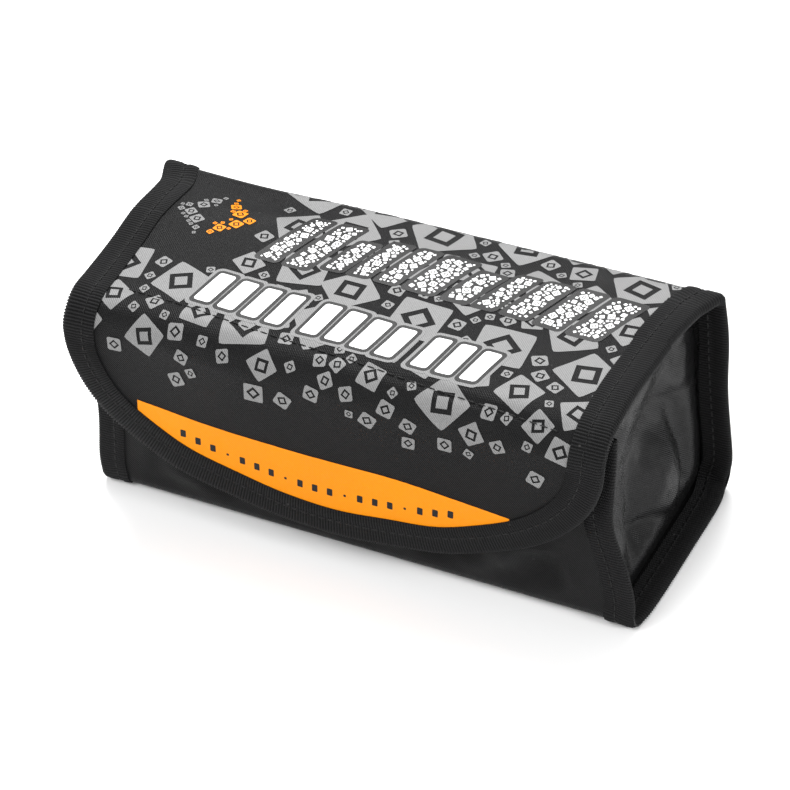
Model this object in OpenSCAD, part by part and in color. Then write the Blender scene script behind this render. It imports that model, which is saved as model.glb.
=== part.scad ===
// A soft box bag that holds lithium polymer batteries while they charge or travel.
// Its frame: +Z up, +X along its length, -Y at the front where the flap closes.
// The origin is at the bottom centre of the whole closed bag. Units are millimetres.

/* [Bag] */
// Length over the bound flanges at both ends
bag_length = 185; // [150:1:240]
// Depth over the front and back cloth
bag_depth = 75; // [60:1:110]
// Height from the base to the top of the lid's cloth
bag_height = 76; // [60:1:110]
// How far the bound flanges stand out past each end panel
flange_w = 9; // [6:0.5:12]

/* [Cloth layers] */
// Thickness of the outer cloth
cloth_t = 0.6; // [0.4:0.1:1]
// Thickness of the felt padding
padding_t = 1.5; // [0.8:0.1:3]
// Thickness of the fire-resistant liner
liner_t = 0.4; // [0.3:0.1:0.8]
// Thickness of the edge tape
tape_t = 0.6; // [0.4:0.1:1]

/* [Lid and flap] */
// How far each side of the lid lies inside the bound flanges
lid_inset = 2.5; // [0:0.5:6]
// Width of the edge tape that shows on the lid and flap
lid_tape_w = 10.5; // [6:0.5:14]
// Height of the flap's lowest cloth edge above the base
flap_low = 12; // [8:1:24]
// Straight length of each side of the flap before its edge curves
flap_side = 10.5; // [4:0.5:20]
// Free length at each side of the lid where its edge tape stops short of the hinge fold
hinge_free = 3; // [3:0.5:8]
// Distance from the flap's fold to the row of stitches on the lid
fold_stitch_inset = 8; // [4:0.5:16]

/* [Mouth] */
// Width of the edge tape that shows along the mouth
mouth_tape_w = 8; // [6:0.5:10]

/* [Hook and loop] */
// Length of the hook strip inside the flap
hook_length = 110; // [60:1:130]
// Length of the loop strip on the front panel
loop_length = 130; // [80:1:140]
// Height of both strips
strip_h = 16; // [10:1:20]
// Thickness of each strip with its pile
strip_t = 1.2; // [0.8:0.1:2]
// Distance from the flap's edge tape to the hook strip's lower corners
strip_margin = 0.8; // [0.5:0.1:2]

/* [Stitches] */
// Length of one stitch
stitch_l = 2.8; // [2:0.1:4]
// Distance from one stitch to the next
stitch_pitch = 4.2; // [3.5:0.1:6]
// Thickness of the thread
thread_t = 0.4; // [0.3:0.1:0.6]
// Distance from a tape's or strip's edge to its row of stitches
stitch_inset = 1.5; // [1:0.1:2.5]

/* [Clearances] */
// Between the closed hook and loop piles
pile_gap = 0.3; // [0.2:0.1:0.6]
// Between the lid and the walls under it
rest_gap = 0.3; // [0.2:0.1:0.6]
// Between the lid's underside and the top of the flap
fold_gap = 1; // [1:0.1:2]
// Between the end panel and the inner leg of the flange's tape
seam_gap = 0.5; // [0.3:0.1:1]

/* [Hidden] */

wall_t = cloth_t + padding_t + liner_t;
half_l = bag_length / 2;
half_d = bag_depth / 2;
end_x = half_l - flange_w;
lid_half = half_l - lid_inset;
lid_under = bag_height - wall_t;
body_top = lid_under - tape_t - rest_gap;
wall_top = body_top - tape_t;
back_top = lid_under - rest_gap;
flange_z = tape_t + cloth_t;

// Distances in front of the bag's middle, where the closed flap hangs
flap_in = half_d + strip_t + pile_gap + strip_t;
flap_out = flap_in + wall_t;
flap_top = lid_under - fold_gap;
flap_mid = flap_top - flap_side;
flap_rise = flap_mid - flap_low;

// Height on the flap's curved edge, inset by a distance, at a place along the length
function edge_z(x, inset) = flap_mid - (flap_rise - inset) * sqrt(1 - pow(x / (lid_half - inset), 2));
strip_low = edge_z(hook_length / 2, lid_tape_w) + strip_margin;

// How far back the bag's middle lies, so that the closed bag with its flap is centred on the origin
bag_y = (flap_out - half_d) / 2;

edge_step = 4;
cut = 1;

// Shifts a piece from the bag's middle to the origin of the closed bag
module placed() {
    translate([0, bag_y, 0]) children();
}

// A box between two limits on each axis
module slab(x, y, z) {
    translate([x[0], y[0], z[0]]) cube([x[1] - x[0], y[1] - y[0], z[1] - z[0]]);
}

// The same shape on the left and the right
module both_ends() {
    children();
    mirror([1, 0, 0]) children();
}

module left_end() {
    mirror([1, 0, 0]) children();
}

// A band of cloth or tape that runs down the front, under the base and up the back
module wrap_band(x, reach, base, thick, top) {
    slab(x, [-reach, -reach + thick], [base, top]);
    slab(x, [reach - thick, reach], [base, top]);
    slab(x, [-reach, reach], [base, base + thick]);
}

// The front or back wall's cloth, with a flange at each end that stands above the tape under it
module wall_cloth(side, main_top) {
    y = side < 0 ? [-half_d, -half_d + cloth_t] : [half_d - cloth_t, half_d];
    slab([-end_x, end_x], y, [0, main_top]);
    both_ends() slab([end_x - cloth_t, half_l], y, [tape_t, body_top]);
}

module front_cloth() {
    color("#26262a") difference() {
        wall_cloth(-1, wall_top);
        both_ends() slab([end_x - cloth_t - cut, end_x], [-half_d - cut, 0], [wall_top, body_top + cut]);
    }
}

module back_cloth() {
    color("#26262a") wall_cloth(1, back_top);
}

module bottom_cloth() {
    reach = half_d - cloth_t;
    color("#26262a") {
        slab([-end_x, end_x], [-reach, reach], [0, cloth_t]);
        both_ends() {
            slab([end_x - cloth_t, end_x], [-reach, reach], [0, flange_z]);
            slab([end_x - cloth_t, half_l], [-reach, reach], [tape_t, flange_z]);
        }
    }
}

// An end panel with its three seam allowances turned outwards
module end_cloth() {
    reach = half_d - cloth_t;
    color("#1f1f22") {
        slab([end_x - cloth_t, end_x], [-reach, reach], [flange_z, wall_top]);
        wrap_band([end_x, half_l], reach, flange_z, cloth_t, body_top);
    }
}

// One layer of the front or back wall
module wall_layer(side, x, outer, thick, z) {
    y = side < 0 ? [-outer, -outer + thick] : [outer - thick, outer];
    slab([-x, x], y, z);
}

padding_x = end_x - cloth_t;
padding_y = half_d - cloth_t;
liner_x = padding_x - padding_t;
liner_y = padding_y - padding_t;
cavity_x = liner_x - liner_t;
cavity_y = liner_y - liner_t;

module front_padding() {
    color("#b9b7ae") wall_layer(-1, padding_x, padding_y, padding_t, [cloth_t, wall_top]);
}

module back_padding() {
    color("#b9b7ae") wall_layer(1, padding_x, padding_y, padding_t, [cloth_t, back_top]);
}

module bottom_padding() {
    color("#b9b7ae") slab([-padding_x, padding_x], [-liner_y, liner_y], [cloth_t, cloth_t + padding_t]);
}

module end_padding() {
    color("#b9b7ae") slab([liner_x, padding_x], [-liner_y, liner_y], [cloth_t + padding_t, wall_top]);
}

module front_liner() {
    color("#8d8f90") wall_layer(-1, liner_x, liner_y, liner_t, [cloth_t + padding_t, wall_top]);
}

module back_liner() {
    color("#8d8f90") wall_layer(1, liner_x, liner_y, liner_t, [cloth_t + padding_t, back_top]);
}

module bottom_liner() {
    color("#8d8f90") slab([-liner_x, liner_x], [-cavity_y, cavity_y], [cloth_t + padding_t, wall_t]);
}

module end_liner() {
    color("#8d8f90") slab([cavity_x, liner_x], [-cavity_y, cavity_y], [wall_t, wall_top]);
}

// The tape folded over the flanges at one end
module edge_tape() {
    inner = half_d - 2 * cloth_t;
    inner_base = flange_z + cloth_t;
    outer_x = half_l + tape_t;
    color("#0f0f10") {
        wrap_band([end_x, outer_x], half_d + tape_t, 0, tape_t, body_top);
        wrap_band([half_l, outer_x], half_d + tape_t, 0, 2 * (tape_t + cloth_t), body_top);
        wrap_band([end_x + seam_gap, outer_x], inner, inner_base, tape_t, body_top);
    }
}

// Stitches in a straight row along X, centred on the bag's length
module row_along_x(length, y, z, across_y, across_z) {
    count = floor((length - stitch_l) / stitch_pitch);
    for (i = [0:count])
        translate([(i - count / 2) * stitch_pitch - stitch_l / 2, y, z]) cube([stitch_l, across_y, across_z]);
}

// Stitches in a straight row up from a height
module row_along_z(x, y, low, high, across_x, across_y) {
    count = floor((high - low - stitch_l) / stitch_pitch);
    for (i = [0:count])
        translate([x, y, low + i * stitch_pitch]) cube([across_x, across_y, stitch_l]);
}

// Stitches in a straight row back from a place on the depth
module row_along_y(x, z, low, high, across_x, across_z) {
    count = floor((high - low - stitch_l) / stitch_pitch);
    for (i = [0:count])
        translate([x, low + i * stitch_pitch, z]) cube([across_x, stitch_l, across_z]);
}

module edge_stitches() {
    x = end_x + stitch_inset;
    color("#2b2b2d") {
        row_along_z(x, -half_d - tape_t - thread_t, flange_w, body_top, thread_t, thread_t);
        row_along_z(x, half_d + tape_t, flange_w, body_top, thread_t, thread_t);
    }
}

module front_mouth_tape() {
    inner = half_d - wall_t;
    low = body_top - mouth_tape_w;
    color("#0f0f10") {
        slab([-end_x, end_x], [-half_d - tape_t, -half_d], [low, body_top]);
        slab([-padding_x, padding_x], [-half_d - tape_t, -inner + tape_t], [wall_top, body_top]);
        slab([-cavity_x, cavity_x], [-inner, -inner + tape_t], [low, body_top]);
    }
}

module end_mouth_tape() {
    y = [-cavity_y + tape_t, cavity_y];
    low = body_top - mouth_tape_w;
    color("#0f0f10") {
        slab([end_x, end_x + tape_t], y, [low, body_top]);
        slab([cavity_x - tape_t, end_x + tape_t], y, [wall_top, body_top]);
        slab([cavity_x - tape_t, cavity_x], y, [low, body_top]);
    }
}

module mouth_stitches() {
    z = body_top - mouth_tape_w + stitch_inset;
    reach = cavity_y - flange_w;
    color("#2b2b2d") {
        row_along_x(2 * end_x, -half_d - tape_t - thread_t, z, thread_t, thread_t);
        both_ends() row_along_y(end_x + tape_t, z, -reach, reach, thread_t, thread_t);
    }
}

// A hook or loop strip of a length, with its front face at a depth
module strip(length, y) {
    slab([-length / 2, length / 2], [y, y + strip_t], [strip_low, strip_low + strip_h]);
}

module loop_strip() {
    color("#18181a") strip(loop_length, -half_d - strip_t);
}

// Two rows of thread, along a strip's lower and upper edges
module strip_stitches(length, y) {
    for (z = [strip_low - thread_t, strip_low + strip_h])
        row_along_x(length, y, z, thread_t, thread_t);
}

module loop_stitches() {
    color("#2b2b2d") strip_stitches(loop_length, -half_d - thread_t);
}

module lid_layer(top, thick) {
    slab([-lid_half, lid_half], [-flap_in, half_d], [top - thick, top]);
}

module lid_cloth() {
    color("#2d2d31") lid_layer(bag_height, cloth_t);
}

module lid_padding() {
    color("#b9b7ae") lid_layer(bag_height - cloth_t, padding_t);
}

module lid_liner() {
    color("#8d8f90") lid_layer(lid_under + liner_t, liner_t);
}

// The tape folded over one side of the lid
module lid_tape() {
    y = [-flap_in, half_d - hinge_free];
    inner_x = lid_half - lid_tape_w;
    outer_x = lid_half + tape_t;
    color("#0f0f10") {
        slab([inner_x, outer_x], y, [bag_height, bag_height + tape_t]);
        slab([lid_half, outer_x], y, [lid_under - tape_t, bag_height + tape_t]);
        slab([inner_x, outer_x], y, [lid_under - tape_t, lid_under]);
    }
}

module lid_tape_stitches() {
    x = lid_half - lid_tape_w + stitch_inset;
    color("#2b2b2d") both_ends()
        row_along_y(x, bag_height + tape_t, -flap_in, half_d - hinge_free, thread_t, thread_t);
}

module fold_stitches() {
    length = 2 * (lid_half - lid_tape_w);
    color("#0a0a0b") row_along_x(length, -flap_in + fold_stitch_inset, bag_height, thread_t, thread_t);
}

// The flap seen from the front: straight sides and a half-ellipse below, inset by a distance
function flap_curve(inset) = [
    for (a = [180:edge_step:360])
        [(lid_half - inset) * cos(a), flap_mid + (flap_rise - inset) * sin(a)]
];

module flap_shape(inset, near, thick, above = 0) {
    side = lid_half - inset;
    translate([0, -near, 0]) rotate([90, 0, 0]) linear_extrude(thick)
        polygon(concat(flap_curve(inset), [[side, flap_top + above], [-side, flap_top + above]]));
}

module flap_liner() {
    color("#8d8f90") flap_shape(0, flap_in, liner_t);
}

module flap_padding() {
    color("#b9b7ae") flap_shape(0, flap_in + liner_t, padding_t);
}

module flap_cloth() {
    color("#26262a") flap_shape(0, flap_out - cloth_t, cloth_t);
}

// The tape folded over the flap's sides and curved edge
module flap_tape() {
    color("#0f0f10") difference() {
        flap_shape(-tape_t, flap_in - tape_t, wall_t + 2 * tape_t);
        flap_shape(0, flap_in, wall_t, cut);
        flap_shape(lid_tape_w, flap_in - tape_t - cut, wall_t + 2 * (tape_t + cut), cut);
    }
}

// One stitch laid from a point to the next on the flap's outer face
module flap_stitch(from, to) {
    step = to - from;
    translate([from[0], -flap_out - tape_t - thread_t, from[1]])
        rotate([0, -atan2(step[1], step[0]), 0])
            cube([norm(step) * stitch_l / stitch_pitch, thread_t, thread_t]);
}

module flap_tape_stitches() {
    row = flap_curve(lid_tape_w - stitch_inset);
    color("#2b2b2d") for (i = [0:len(row) - 2]) flap_stitch(row[i], row[i + 1]);
}

module hook_strip() {
    color("#18181a") strip(hook_length, -flap_in);
}

module hook_stitches() {
    color("#2b2b2d") strip_stitches(hook_length, -flap_in);
}

placed() front_cloth();
placed() bottom_cloth();
placed() back_cloth();
placed() left_end() end_cloth();  // left_end_cloth
placed() end_cloth();  // right_end_cloth
placed() front_padding();
placed() bottom_padding();
placed() back_padding();
placed() left_end() end_padding();  // left_end_padding
placed() end_padding();  // right_end_padding
placed() front_liner();
placed() bottom_liner();
placed() back_liner();
placed() left_end() end_liner();  // left_end_liner
placed() end_liner();  // right_end_liner
placed() left_end() edge_tape();  // left_edge_tape
placed() edge_tape();  // right_edge_tape
placed() left_end() edge_stitches();  // left_edge_stitches
placed() edge_stitches();  // right_edge_stitches
placed() front_mouth_tape();
placed() left_end() end_mouth_tape();  // left_mouth_tape
placed() end_mouth_tape();  // right_mouth_tape
placed() mouth_stitches();
placed() loop_strip();
placed() loop_stitches();
placed() lid_cloth();
placed() lid_padding();
placed() lid_liner();
placed() left_end() lid_tape();  // lid_left_tape
placed() lid_tape();  // lid_right_tape
placed() lid_tape_stitches();
placed() fold_stitches();
placed() flap_cloth();
placed() flap_padding();
placed() flap_liner();
placed() flap_tape();
placed() flap_tape_stitches();
placed() hook_strip();
placed() hook_stitches();
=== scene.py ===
"""The visible cloth of a padded battery bag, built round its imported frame.

The bag is one long strip of padded cloth, which runs down the flap, over the lid, down the back,
under the base and up the front. Two end panels close it, and a ribbed tape is folded over every
free edge. Each piece is modelled flat, in the strip's own cut, and is then draped on the strip.
"""
import logging
import math
import random
from dataclasses import dataclass, field
from enum import Enum
from typing import Callable, Protocol, Sequence

import bmesh
import bpy
import numpy as np
from mathutils import Matrix, Vector


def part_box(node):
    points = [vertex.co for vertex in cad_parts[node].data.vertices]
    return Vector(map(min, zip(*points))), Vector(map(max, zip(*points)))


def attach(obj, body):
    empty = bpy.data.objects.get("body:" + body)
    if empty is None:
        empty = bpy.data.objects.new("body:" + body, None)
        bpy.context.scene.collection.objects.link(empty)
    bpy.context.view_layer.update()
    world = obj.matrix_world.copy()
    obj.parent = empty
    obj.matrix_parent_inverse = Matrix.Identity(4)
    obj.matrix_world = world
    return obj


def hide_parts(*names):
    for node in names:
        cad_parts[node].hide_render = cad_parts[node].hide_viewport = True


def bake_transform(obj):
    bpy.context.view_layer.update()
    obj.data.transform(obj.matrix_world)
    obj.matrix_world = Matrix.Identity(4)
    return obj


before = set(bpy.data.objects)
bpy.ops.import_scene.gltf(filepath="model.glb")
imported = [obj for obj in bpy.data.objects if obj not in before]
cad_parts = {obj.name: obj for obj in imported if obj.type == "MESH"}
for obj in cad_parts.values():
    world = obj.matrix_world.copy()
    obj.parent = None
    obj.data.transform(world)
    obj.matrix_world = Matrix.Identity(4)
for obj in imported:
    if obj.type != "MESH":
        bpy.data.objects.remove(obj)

LOG = logging.getLogger("battery_bag")
MM = 0.001
CUT_MAP = "cut"
LINT_COLOUR = (0.35, 0.34, 0.33, 1)
FABRIC_PITCH = 0.62 * MM
DIAGONAL = 1.4143  # a little over the square root of 2
Points = np.ndarray
Sockets = dict[str, bpy.types.NodeSocket]


class Side(Enum):
    """An end of the bag, by the sign of its place along the length."""

    LEFT = -1
    RIGHT = 1


class Weave(Enum):
    """How a cloth is woven."""

    TWILL = "twill"
    PLAIN = "plain"
    RIBBED = "ribbed"
    FELTED = "felted"


# ---------------------------------------------------------------- curves and surfaces


def smooth(x: Points) -> Points:
    """A step that rises smoothly from 0 at 0 to 1 at 1."""
    t = np.clip(x, 0.0, 1.0)
    return t * t * (3.0 - 2.0 * t)


def hump(x: Points, width: float) -> Points:
    """A bell of height 1 at 0 that fades within about two widths."""
    return np.exp(-((x / width) ** 2))


def spline_weights(t: Points) -> list[Points]:
    """The four weights of a smooth cubic spline at a share of the way between two points."""
    return [(1 - t) ** 3 / 6, (3 * t ** 3 - 6 * t ** 2 + 4) / 6,
            (-3 * t ** 3 + 3 * t ** 2 + 3 * t + 1) / 6, t ** 3 / 6]


def lengths_along(points: Points) -> Points:
    """Each point's distance from the first one, along the line through them."""
    steps = np.linalg.norm(np.diff(points, axis=0), axis=1)
    return np.concatenate([[0.0], np.cumsum(steps)])


def inward_of(edge: Points, inside: int) -> Points:
    """The direction that leads from each point of an edge to its inside.

    Args:
        edge: The edge's points.
        inside: 1 if the inside is on the left of the edge, and -1 if it is on the right.

    Returns:
        The directions, each of length 1.
    """
    tangent = np.gradient(edge, axis=0)
    tangent /= np.linalg.norm(tangent, axis=1)[:, None]
    return inside * np.stack([-tangent[:, 1], tangent[:, 0]], axis=1)


def even(points: Points, step: float = 0.5 * MM) -> Points:
    """Spaces points evenly along their line.

    Args:
        points: The line's points.
        step: About how far apart the new points are.

    Returns:
        The new points.
    """
    along = lengths_along(points)
    places = np.linspace(0, along[-1], max(2, round(along[-1] / step)))
    return np.stack([np.interp(places, along, points[:, k]) for k in (0, 1)], axis=1)


class RoundedPath:
    """A flat path through corners, each rounded to an arc, with its length measured along it."""

    def __init__(self, corners: Sequence[tuple[float, float]], radii: Sequence[float]) -> None:
        """Traces the path.

        Args:
            corners: The path's ends and the sharp corners between them.
            radii: The arc's radius at each corner between the ends.
        """
        points = [np.array(corners[0])]
        for before, corner, after, radius in zip(corners, corners[1:], corners[2:], radii):
            points.extend(self._arc(np.array(before), np.array(corner), np.array(after), radius))
        points.append(np.array(corners[-1]))
        self.points = np.array(points)
        self.along = lengths_along(self.points)

    @staticmethod
    def _arc(before: Points, corner: Points, after: Points, radius: float, count: int = 40) -> list[Points]:
        """The points of one rounded corner.

        Args:
            before: The corner before it.
            corner: The sharp corner.
            after: The corner after it.
            radius: The arc's radius.
            count: How many points the arc has.

        Returns:
            The arc's points in order.
        """
        back = (before - corner) / np.linalg.norm(before - corner)
        ahead = (after - corner) / np.linalg.norm(after - corner)
        half = math.acos(float(np.clip(back @ ahead, -1, 1))) / 2
        middle = (back + ahead) / np.linalg.norm(back + ahead)
        centre = corner + middle * radius / math.sin(half)
        start = corner + back * radius / math.tan(half) - centre
        turn = (math.pi - 2 * half) * math.copysign(1, back[1] * ahead[0] - back[0] * ahead[1])
        angles = np.linspace(0, turn, count)
        c, s = np.cos(angles), np.sin(angles)
        return list(centre + np.stack([start[0] * c - start[1] * s, start[0] * s + start[1] * c], axis=1))

    def at(self, length: Points) -> tuple[Points, Points]:
        """The path's two coordinates at lengths along it."""
        return (np.interp(length, self.along, self.points[:, 0]),
                np.interp(length, self.along, self.points[:, 1]))

    def nearest(self, point: tuple[float, float]) -> float:
        """Where the path passes nearest to a point.

        Args:
            point: The point.

        Returns:
            The length along the path.
        """
        fine = np.arange(0, self.along[-1], 0.1 * MM)
        first, second = self.at(fine)
        return float(fine[np.argmin((first - point[0]) ** 2 + (second - point[1]) ** 2)])


class SoftLine:
    """A value that changes gently along the strip, through a few stations."""

    def __init__(self, stations: Sequence[tuple[float, float]], softness: float = 6 * MM) -> None:
        """Smooths the straight runs between the stations.

        Args:
            stations: Pairs of place along the strip and value there.
            softness: How far each station's corner is spread.
        """
        places, values = (np.array(x, float) for x in zip(*stations))
        step = 0.5 * MM
        reach = 4 * softness
        self.places = np.arange(places[0] - reach, places[-1] + reach, step)
        raw = np.interp(self.places, places, values)
        kernel = hump(np.arange(-reach, reach + step, step), softness)
        kernel /= kernel.sum()
        padded = np.pad(raw, len(kernel) // 2, mode="edge")
        self.values = np.convolve(padded, kernel, mode="valid")[: len(self.places)]

    def at(self, place: Points) -> Points:
        """The value at places along the strip."""
        return np.interp(place, self.places, self.values)


class Surface(Protocol):
    """A cloth's outer face, as a map from its flat cut to the row frame."""

    def face(self, across: Points, along: Points) -> Points:
        """The face's points at places on the cut."""


def drape(bm: bmesh.types.BMesh, surface: Surface) -> None:
    """Moves a flat mesh onto a surface.

    Args:
        bm: The mesh, with its height above the cloth as its third coordinate.
        surface: The surface that it is laid on.
    """
    flat = np.array([v.co for v in bm.verts], float).reshape(-1, 3)
    step = 0.15 * MM
    u, v, height = flat.T
    along_u = surface.face(u + step, v) - surface.face(u - step, v)
    along_v = surface.face(u, v + step) - surface.face(u, v - step)
    normal = np.cross(along_u, along_v)
    normal /= np.maximum(np.linalg.norm(normal, axis=1), 1e-15)[:, None]
    placed = surface.face(u, v) + normal * height[:, None]
    for vertex, point in zip(bm.verts, placed):
        vertex.co = Vector(point)


def keep_cut(bm: bmesh.types.BMesh, place: Callable[[Vector], tuple[float, float]] | None = None) -> None:
    """Writes each corner's place on the flat cut into the texture map.

    Args:
        bm: The mesh while it is still flat.
        place: Gives the map's coordinates of a vertex, if they aren't its first two.
    """
    layer = bm.loops.layers.uv.get(CUT_MAP) or bm.loops.layers.uv.new(CUT_MAP)
    for face in bm.faces:
        for loop in face.loops:
            loop[layer].uv = place(loop.vert.co) if place else loop.vert.co.xy


def flat_grid(low: tuple[float, float], high: tuple[float, float],
              step: tuple[float, float]) -> bmesh.types.BMesh:
    """A flat grid between two corners.

    Args:
        low: The corner with the lower coordinates.
        high: The corner with the higher coordinates.
        step: The size of a cell on each axis.

    Returns:
        The grid, with its normals along +Z.
    """
    bm = bmesh.new()
    counts = [max(1, round((high[k] - low[k]) / step[k])) for k in (0, 1)]
    bmesh.ops.create_grid(bm, x_segments=counts[0], y_segments=counts[1], size=1.0)
    scale = Vector(((high[0] - low[0]) / 2, (high[1] - low[1]) / 2, 1))
    bmesh.ops.scale(bm, vec=scale, verts=bm.verts)
    bmesh.ops.translate(bm, vec=((low[0] + high[0]) / 2, (low[1] + high[1]) / 2, 0), verts=bm.verts)
    return bm


def cut_along(bm: bmesh.types.BMesh, place: float, normal: tuple[int, int, int],
              clear: bool = False) -> None:
    """Cuts a flat mesh along a straight line.

    Args:
        bm: The flat mesh.
        place: Where the line crosses the axis.
        normal: The axis that it crosses.
        clear: Whether what lies beyond the line is removed.
    """
    bmesh.ops.bisect_plane(bm, geom=bm.verts[:] + bm.edges[:] + bm.faces[:], dist=1e-7,
                           plane_co=tuple(float(place) * n for n in normal), plane_no=normal,
                           clear_outer=clear)


def cut_rows(bm: bmesh.types.BMesh, low: float, high: float, step: float) -> None:
    """Cuts extra rows across a flat mesh, where the cloth bends sharply.

    Args:
        bm: The flat mesh.
        low: Where along the strip the rows start.
        high: Where they end.
        step: The step between them.
    """
    for place in np.arange(low, high, step):
        cut_along(bm, place, (0, 1, 0))


def link_mesh(name: str, bm: bmesh.types.BMesh) -> bpy.types.Object:
    """Puts an object with a mesh in the scene.

    Args:
        name: The object's and the mesh's name.
        bm: The mesh, which is freed.

    Returns:
        The object.
    """
    mesh = bpy.data.meshes.new(name)
    bm.to_mesh(mesh)
    bm.free()
    obj = bpy.data.objects.new(name, mesh)
    bpy.context.scene.collection.objects.link(obj)
    return obj


# ---------------------------------------------------------------- the strip and the end panels


@dataclass
class Ripples:
    """Gentle waves in a cloth, each with a direction, a length and a phase drawn at random."""

    seed: int
    height: float = 0.25 * MM
    shortest: float = 24 * MM
    longest: float = 70 * MM
    count: int = 7

    def __post_init__(self) -> None:
        """Draws the waves."""
        draw = random.Random(self.seed)
        self.waves = []
        for _ in range(self.count):
            turn = draw.uniform(0, math.pi)
            number = 2 * math.pi / draw.uniform(self.shortest, self.longest)
            phase = draw.uniform(0, 2 * math.pi)
            self.waves.append((number * math.cos(turn), number * math.sin(turn), phase))

    def at(self, u: Points, v: Points) -> Points:
        """The waves' height at places on the cut."""
        return self.height * sum(np.sin(a * u + b * v + c) for a, b, c in self.waves) / math.sqrt(self.count)


@dataclass
class Panel:
    """A stretch of cloth that is held along its border and is a little too large for it.

    Its folds come from a cloth simulation on its flat cut.
    """

    name: str
    low: tuple[float, float]
    high: tuple[float, float]
    excess: float
    start: Callable[[Points, Points], Points]
    bending: float = 0.05
    cell: float = 2.2 * MM
    clamp: float = 2.4 * MM
    fade: float = 9 * MM
    heights: Points | None = field(default=None, init=False)

    def prepare(self) -> bpy.types.Object:
        """Makes the flat cloth that is simulated, held along its border.

        Returns:
            The object, with a Cloth modifier.
        """
        cloth = link_mesh(self.name + "_cut", flat_grid(self.low, self.high, (self.cell, self.cell)))
        lifted = np.array([v.co for v in cloth.data.vertices], float)
        u, v = lifted[:, 0], lifted[:, 1]
        free = self.border(u, v)
        lifted[:, 2] = self.start(u, v) * free
        cloth.data.vertices.foreach_set("co", lifted.astype(np.float32).ravel())
        held = cloth.vertex_groups.new(name="held")
        held.add([int(i) for i in np.flatnonzero(free < 1e-4)], 1.0, "REPLACE")
        modifier = cloth.modifiers.new("Cloth", "CLOTH")
        settings = modifier.settings
        settings.quality = 6
        settings.mass = 0.12
        settings.tension_stiffness = settings.compression_stiffness = 20
        settings.shear_stiffness = 8
        settings.bending_stiffness = self.bending
        settings.air_damping = 4
        settings.shrink_min = -self.excess
        settings.vertex_group_mass = "held"
        settings.effector_weights.gravity = 0
        return cloth

    def border(self, u: Points, v: Points) -> Points:
        """0 along the border, rising to 1 a few millimetres inside it."""
        inside = np.minimum.reduce([u - self.low[0], self.high[0] - u, v - self.low[1], self.high[1] - v])
        return smooth((inside - self.clamp) / self.fade)

    def read(self, cloth: bpy.types.Object) -> None:
        """Keeps the simulated heights on a regular grid and removes the object.

        Args:
            cloth: The object that prepare() made, after the simulation.
        """
        graph = bpy.context.evaluated_depsgraph_get()
        points = np.array([v.co for v in cloth.evaluated_get(graph).data.vertices], float)
        flat = np.array([v.co for v in cloth.data.vertices], float)
        columns, rows = (len(np.unique(np.round(flat[:, k], 7))) for k in (0, 1))
        order = np.lexsort((flat[:, 0], np.round(flat[:, 1], 7)))
        self.heights = points[order, 2].reshape(rows, columns)
        bpy.data.meshes.remove(cloth.data)

    def at(self, u: Points, v: Points) -> Points:
        """The folds' height, which is 0 outside the panel.

        Args:
            u: Places across the cut.
            v: The same places along it.

        Returns:
            The height at each place.
        """
        if self.heights is None:
            return self.start(u, v) * self.border(u, v)
        rows, columns = self.heights.shape
        x = np.clip((u - self.low[0]) / (self.high[0] - self.low[0]), 0, 1) * (columns - 1)
        y = np.clip((v - self.low[1]) / (self.high[1] - self.low[1]), 0, 1) * (rows - 1)
        i, j = np.minimum(x.astype(int), columns - 2), np.minimum(y.astype(int), rows - 2)
        total = np.zeros_like(x)
        for a, row_weight in enumerate(spline_weights(y - j)):
            for b, column_weight in enumerate(spline_weights(x - i)):
                cells = (np.clip(j + a - 1, 0, rows - 1), np.clip(i + b - 1, 0, columns - 1))
                total += self.heights[cells] * row_weight * column_weight
        return total * self.border(u, v)


def settle(panels: Sequence[Panel], frames: int = 24) -> None:
    """Simulates the panels' folds together.

    Args:
        panels: The panels, each simulated on its own flat cut.
        frames: How many frames the cloth moves for.
    """
    scene = bpy.context.scene
    cloths = [panel.prepare() for panel in panels]
    for number in range(1, frames + 1):
        scene.frame_set(number)
    for panel, cloth in zip(panels, cloths):
        panel.read(cloth)
        low, high = panel.heights.min() / MM, panel.heights.max() / MM
        LOG.info("%s settled between %.1f and %.1f mm", panel.name, low, high)
    scene.frame_set(1)


@dataclass(frozen=True)
class Dent:
    """A soft hollow in the strip, or a soft ridge if its height is above 0."""

    u: float
    v: float
    wide: float
    long: float
    height: float

    def at(self, u: Points, v: Points) -> Points:
        """Its height at places on the cut."""
        return self.height * hump(u - self.u, self.wide) * hump(v - self.v, self.long)


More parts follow.
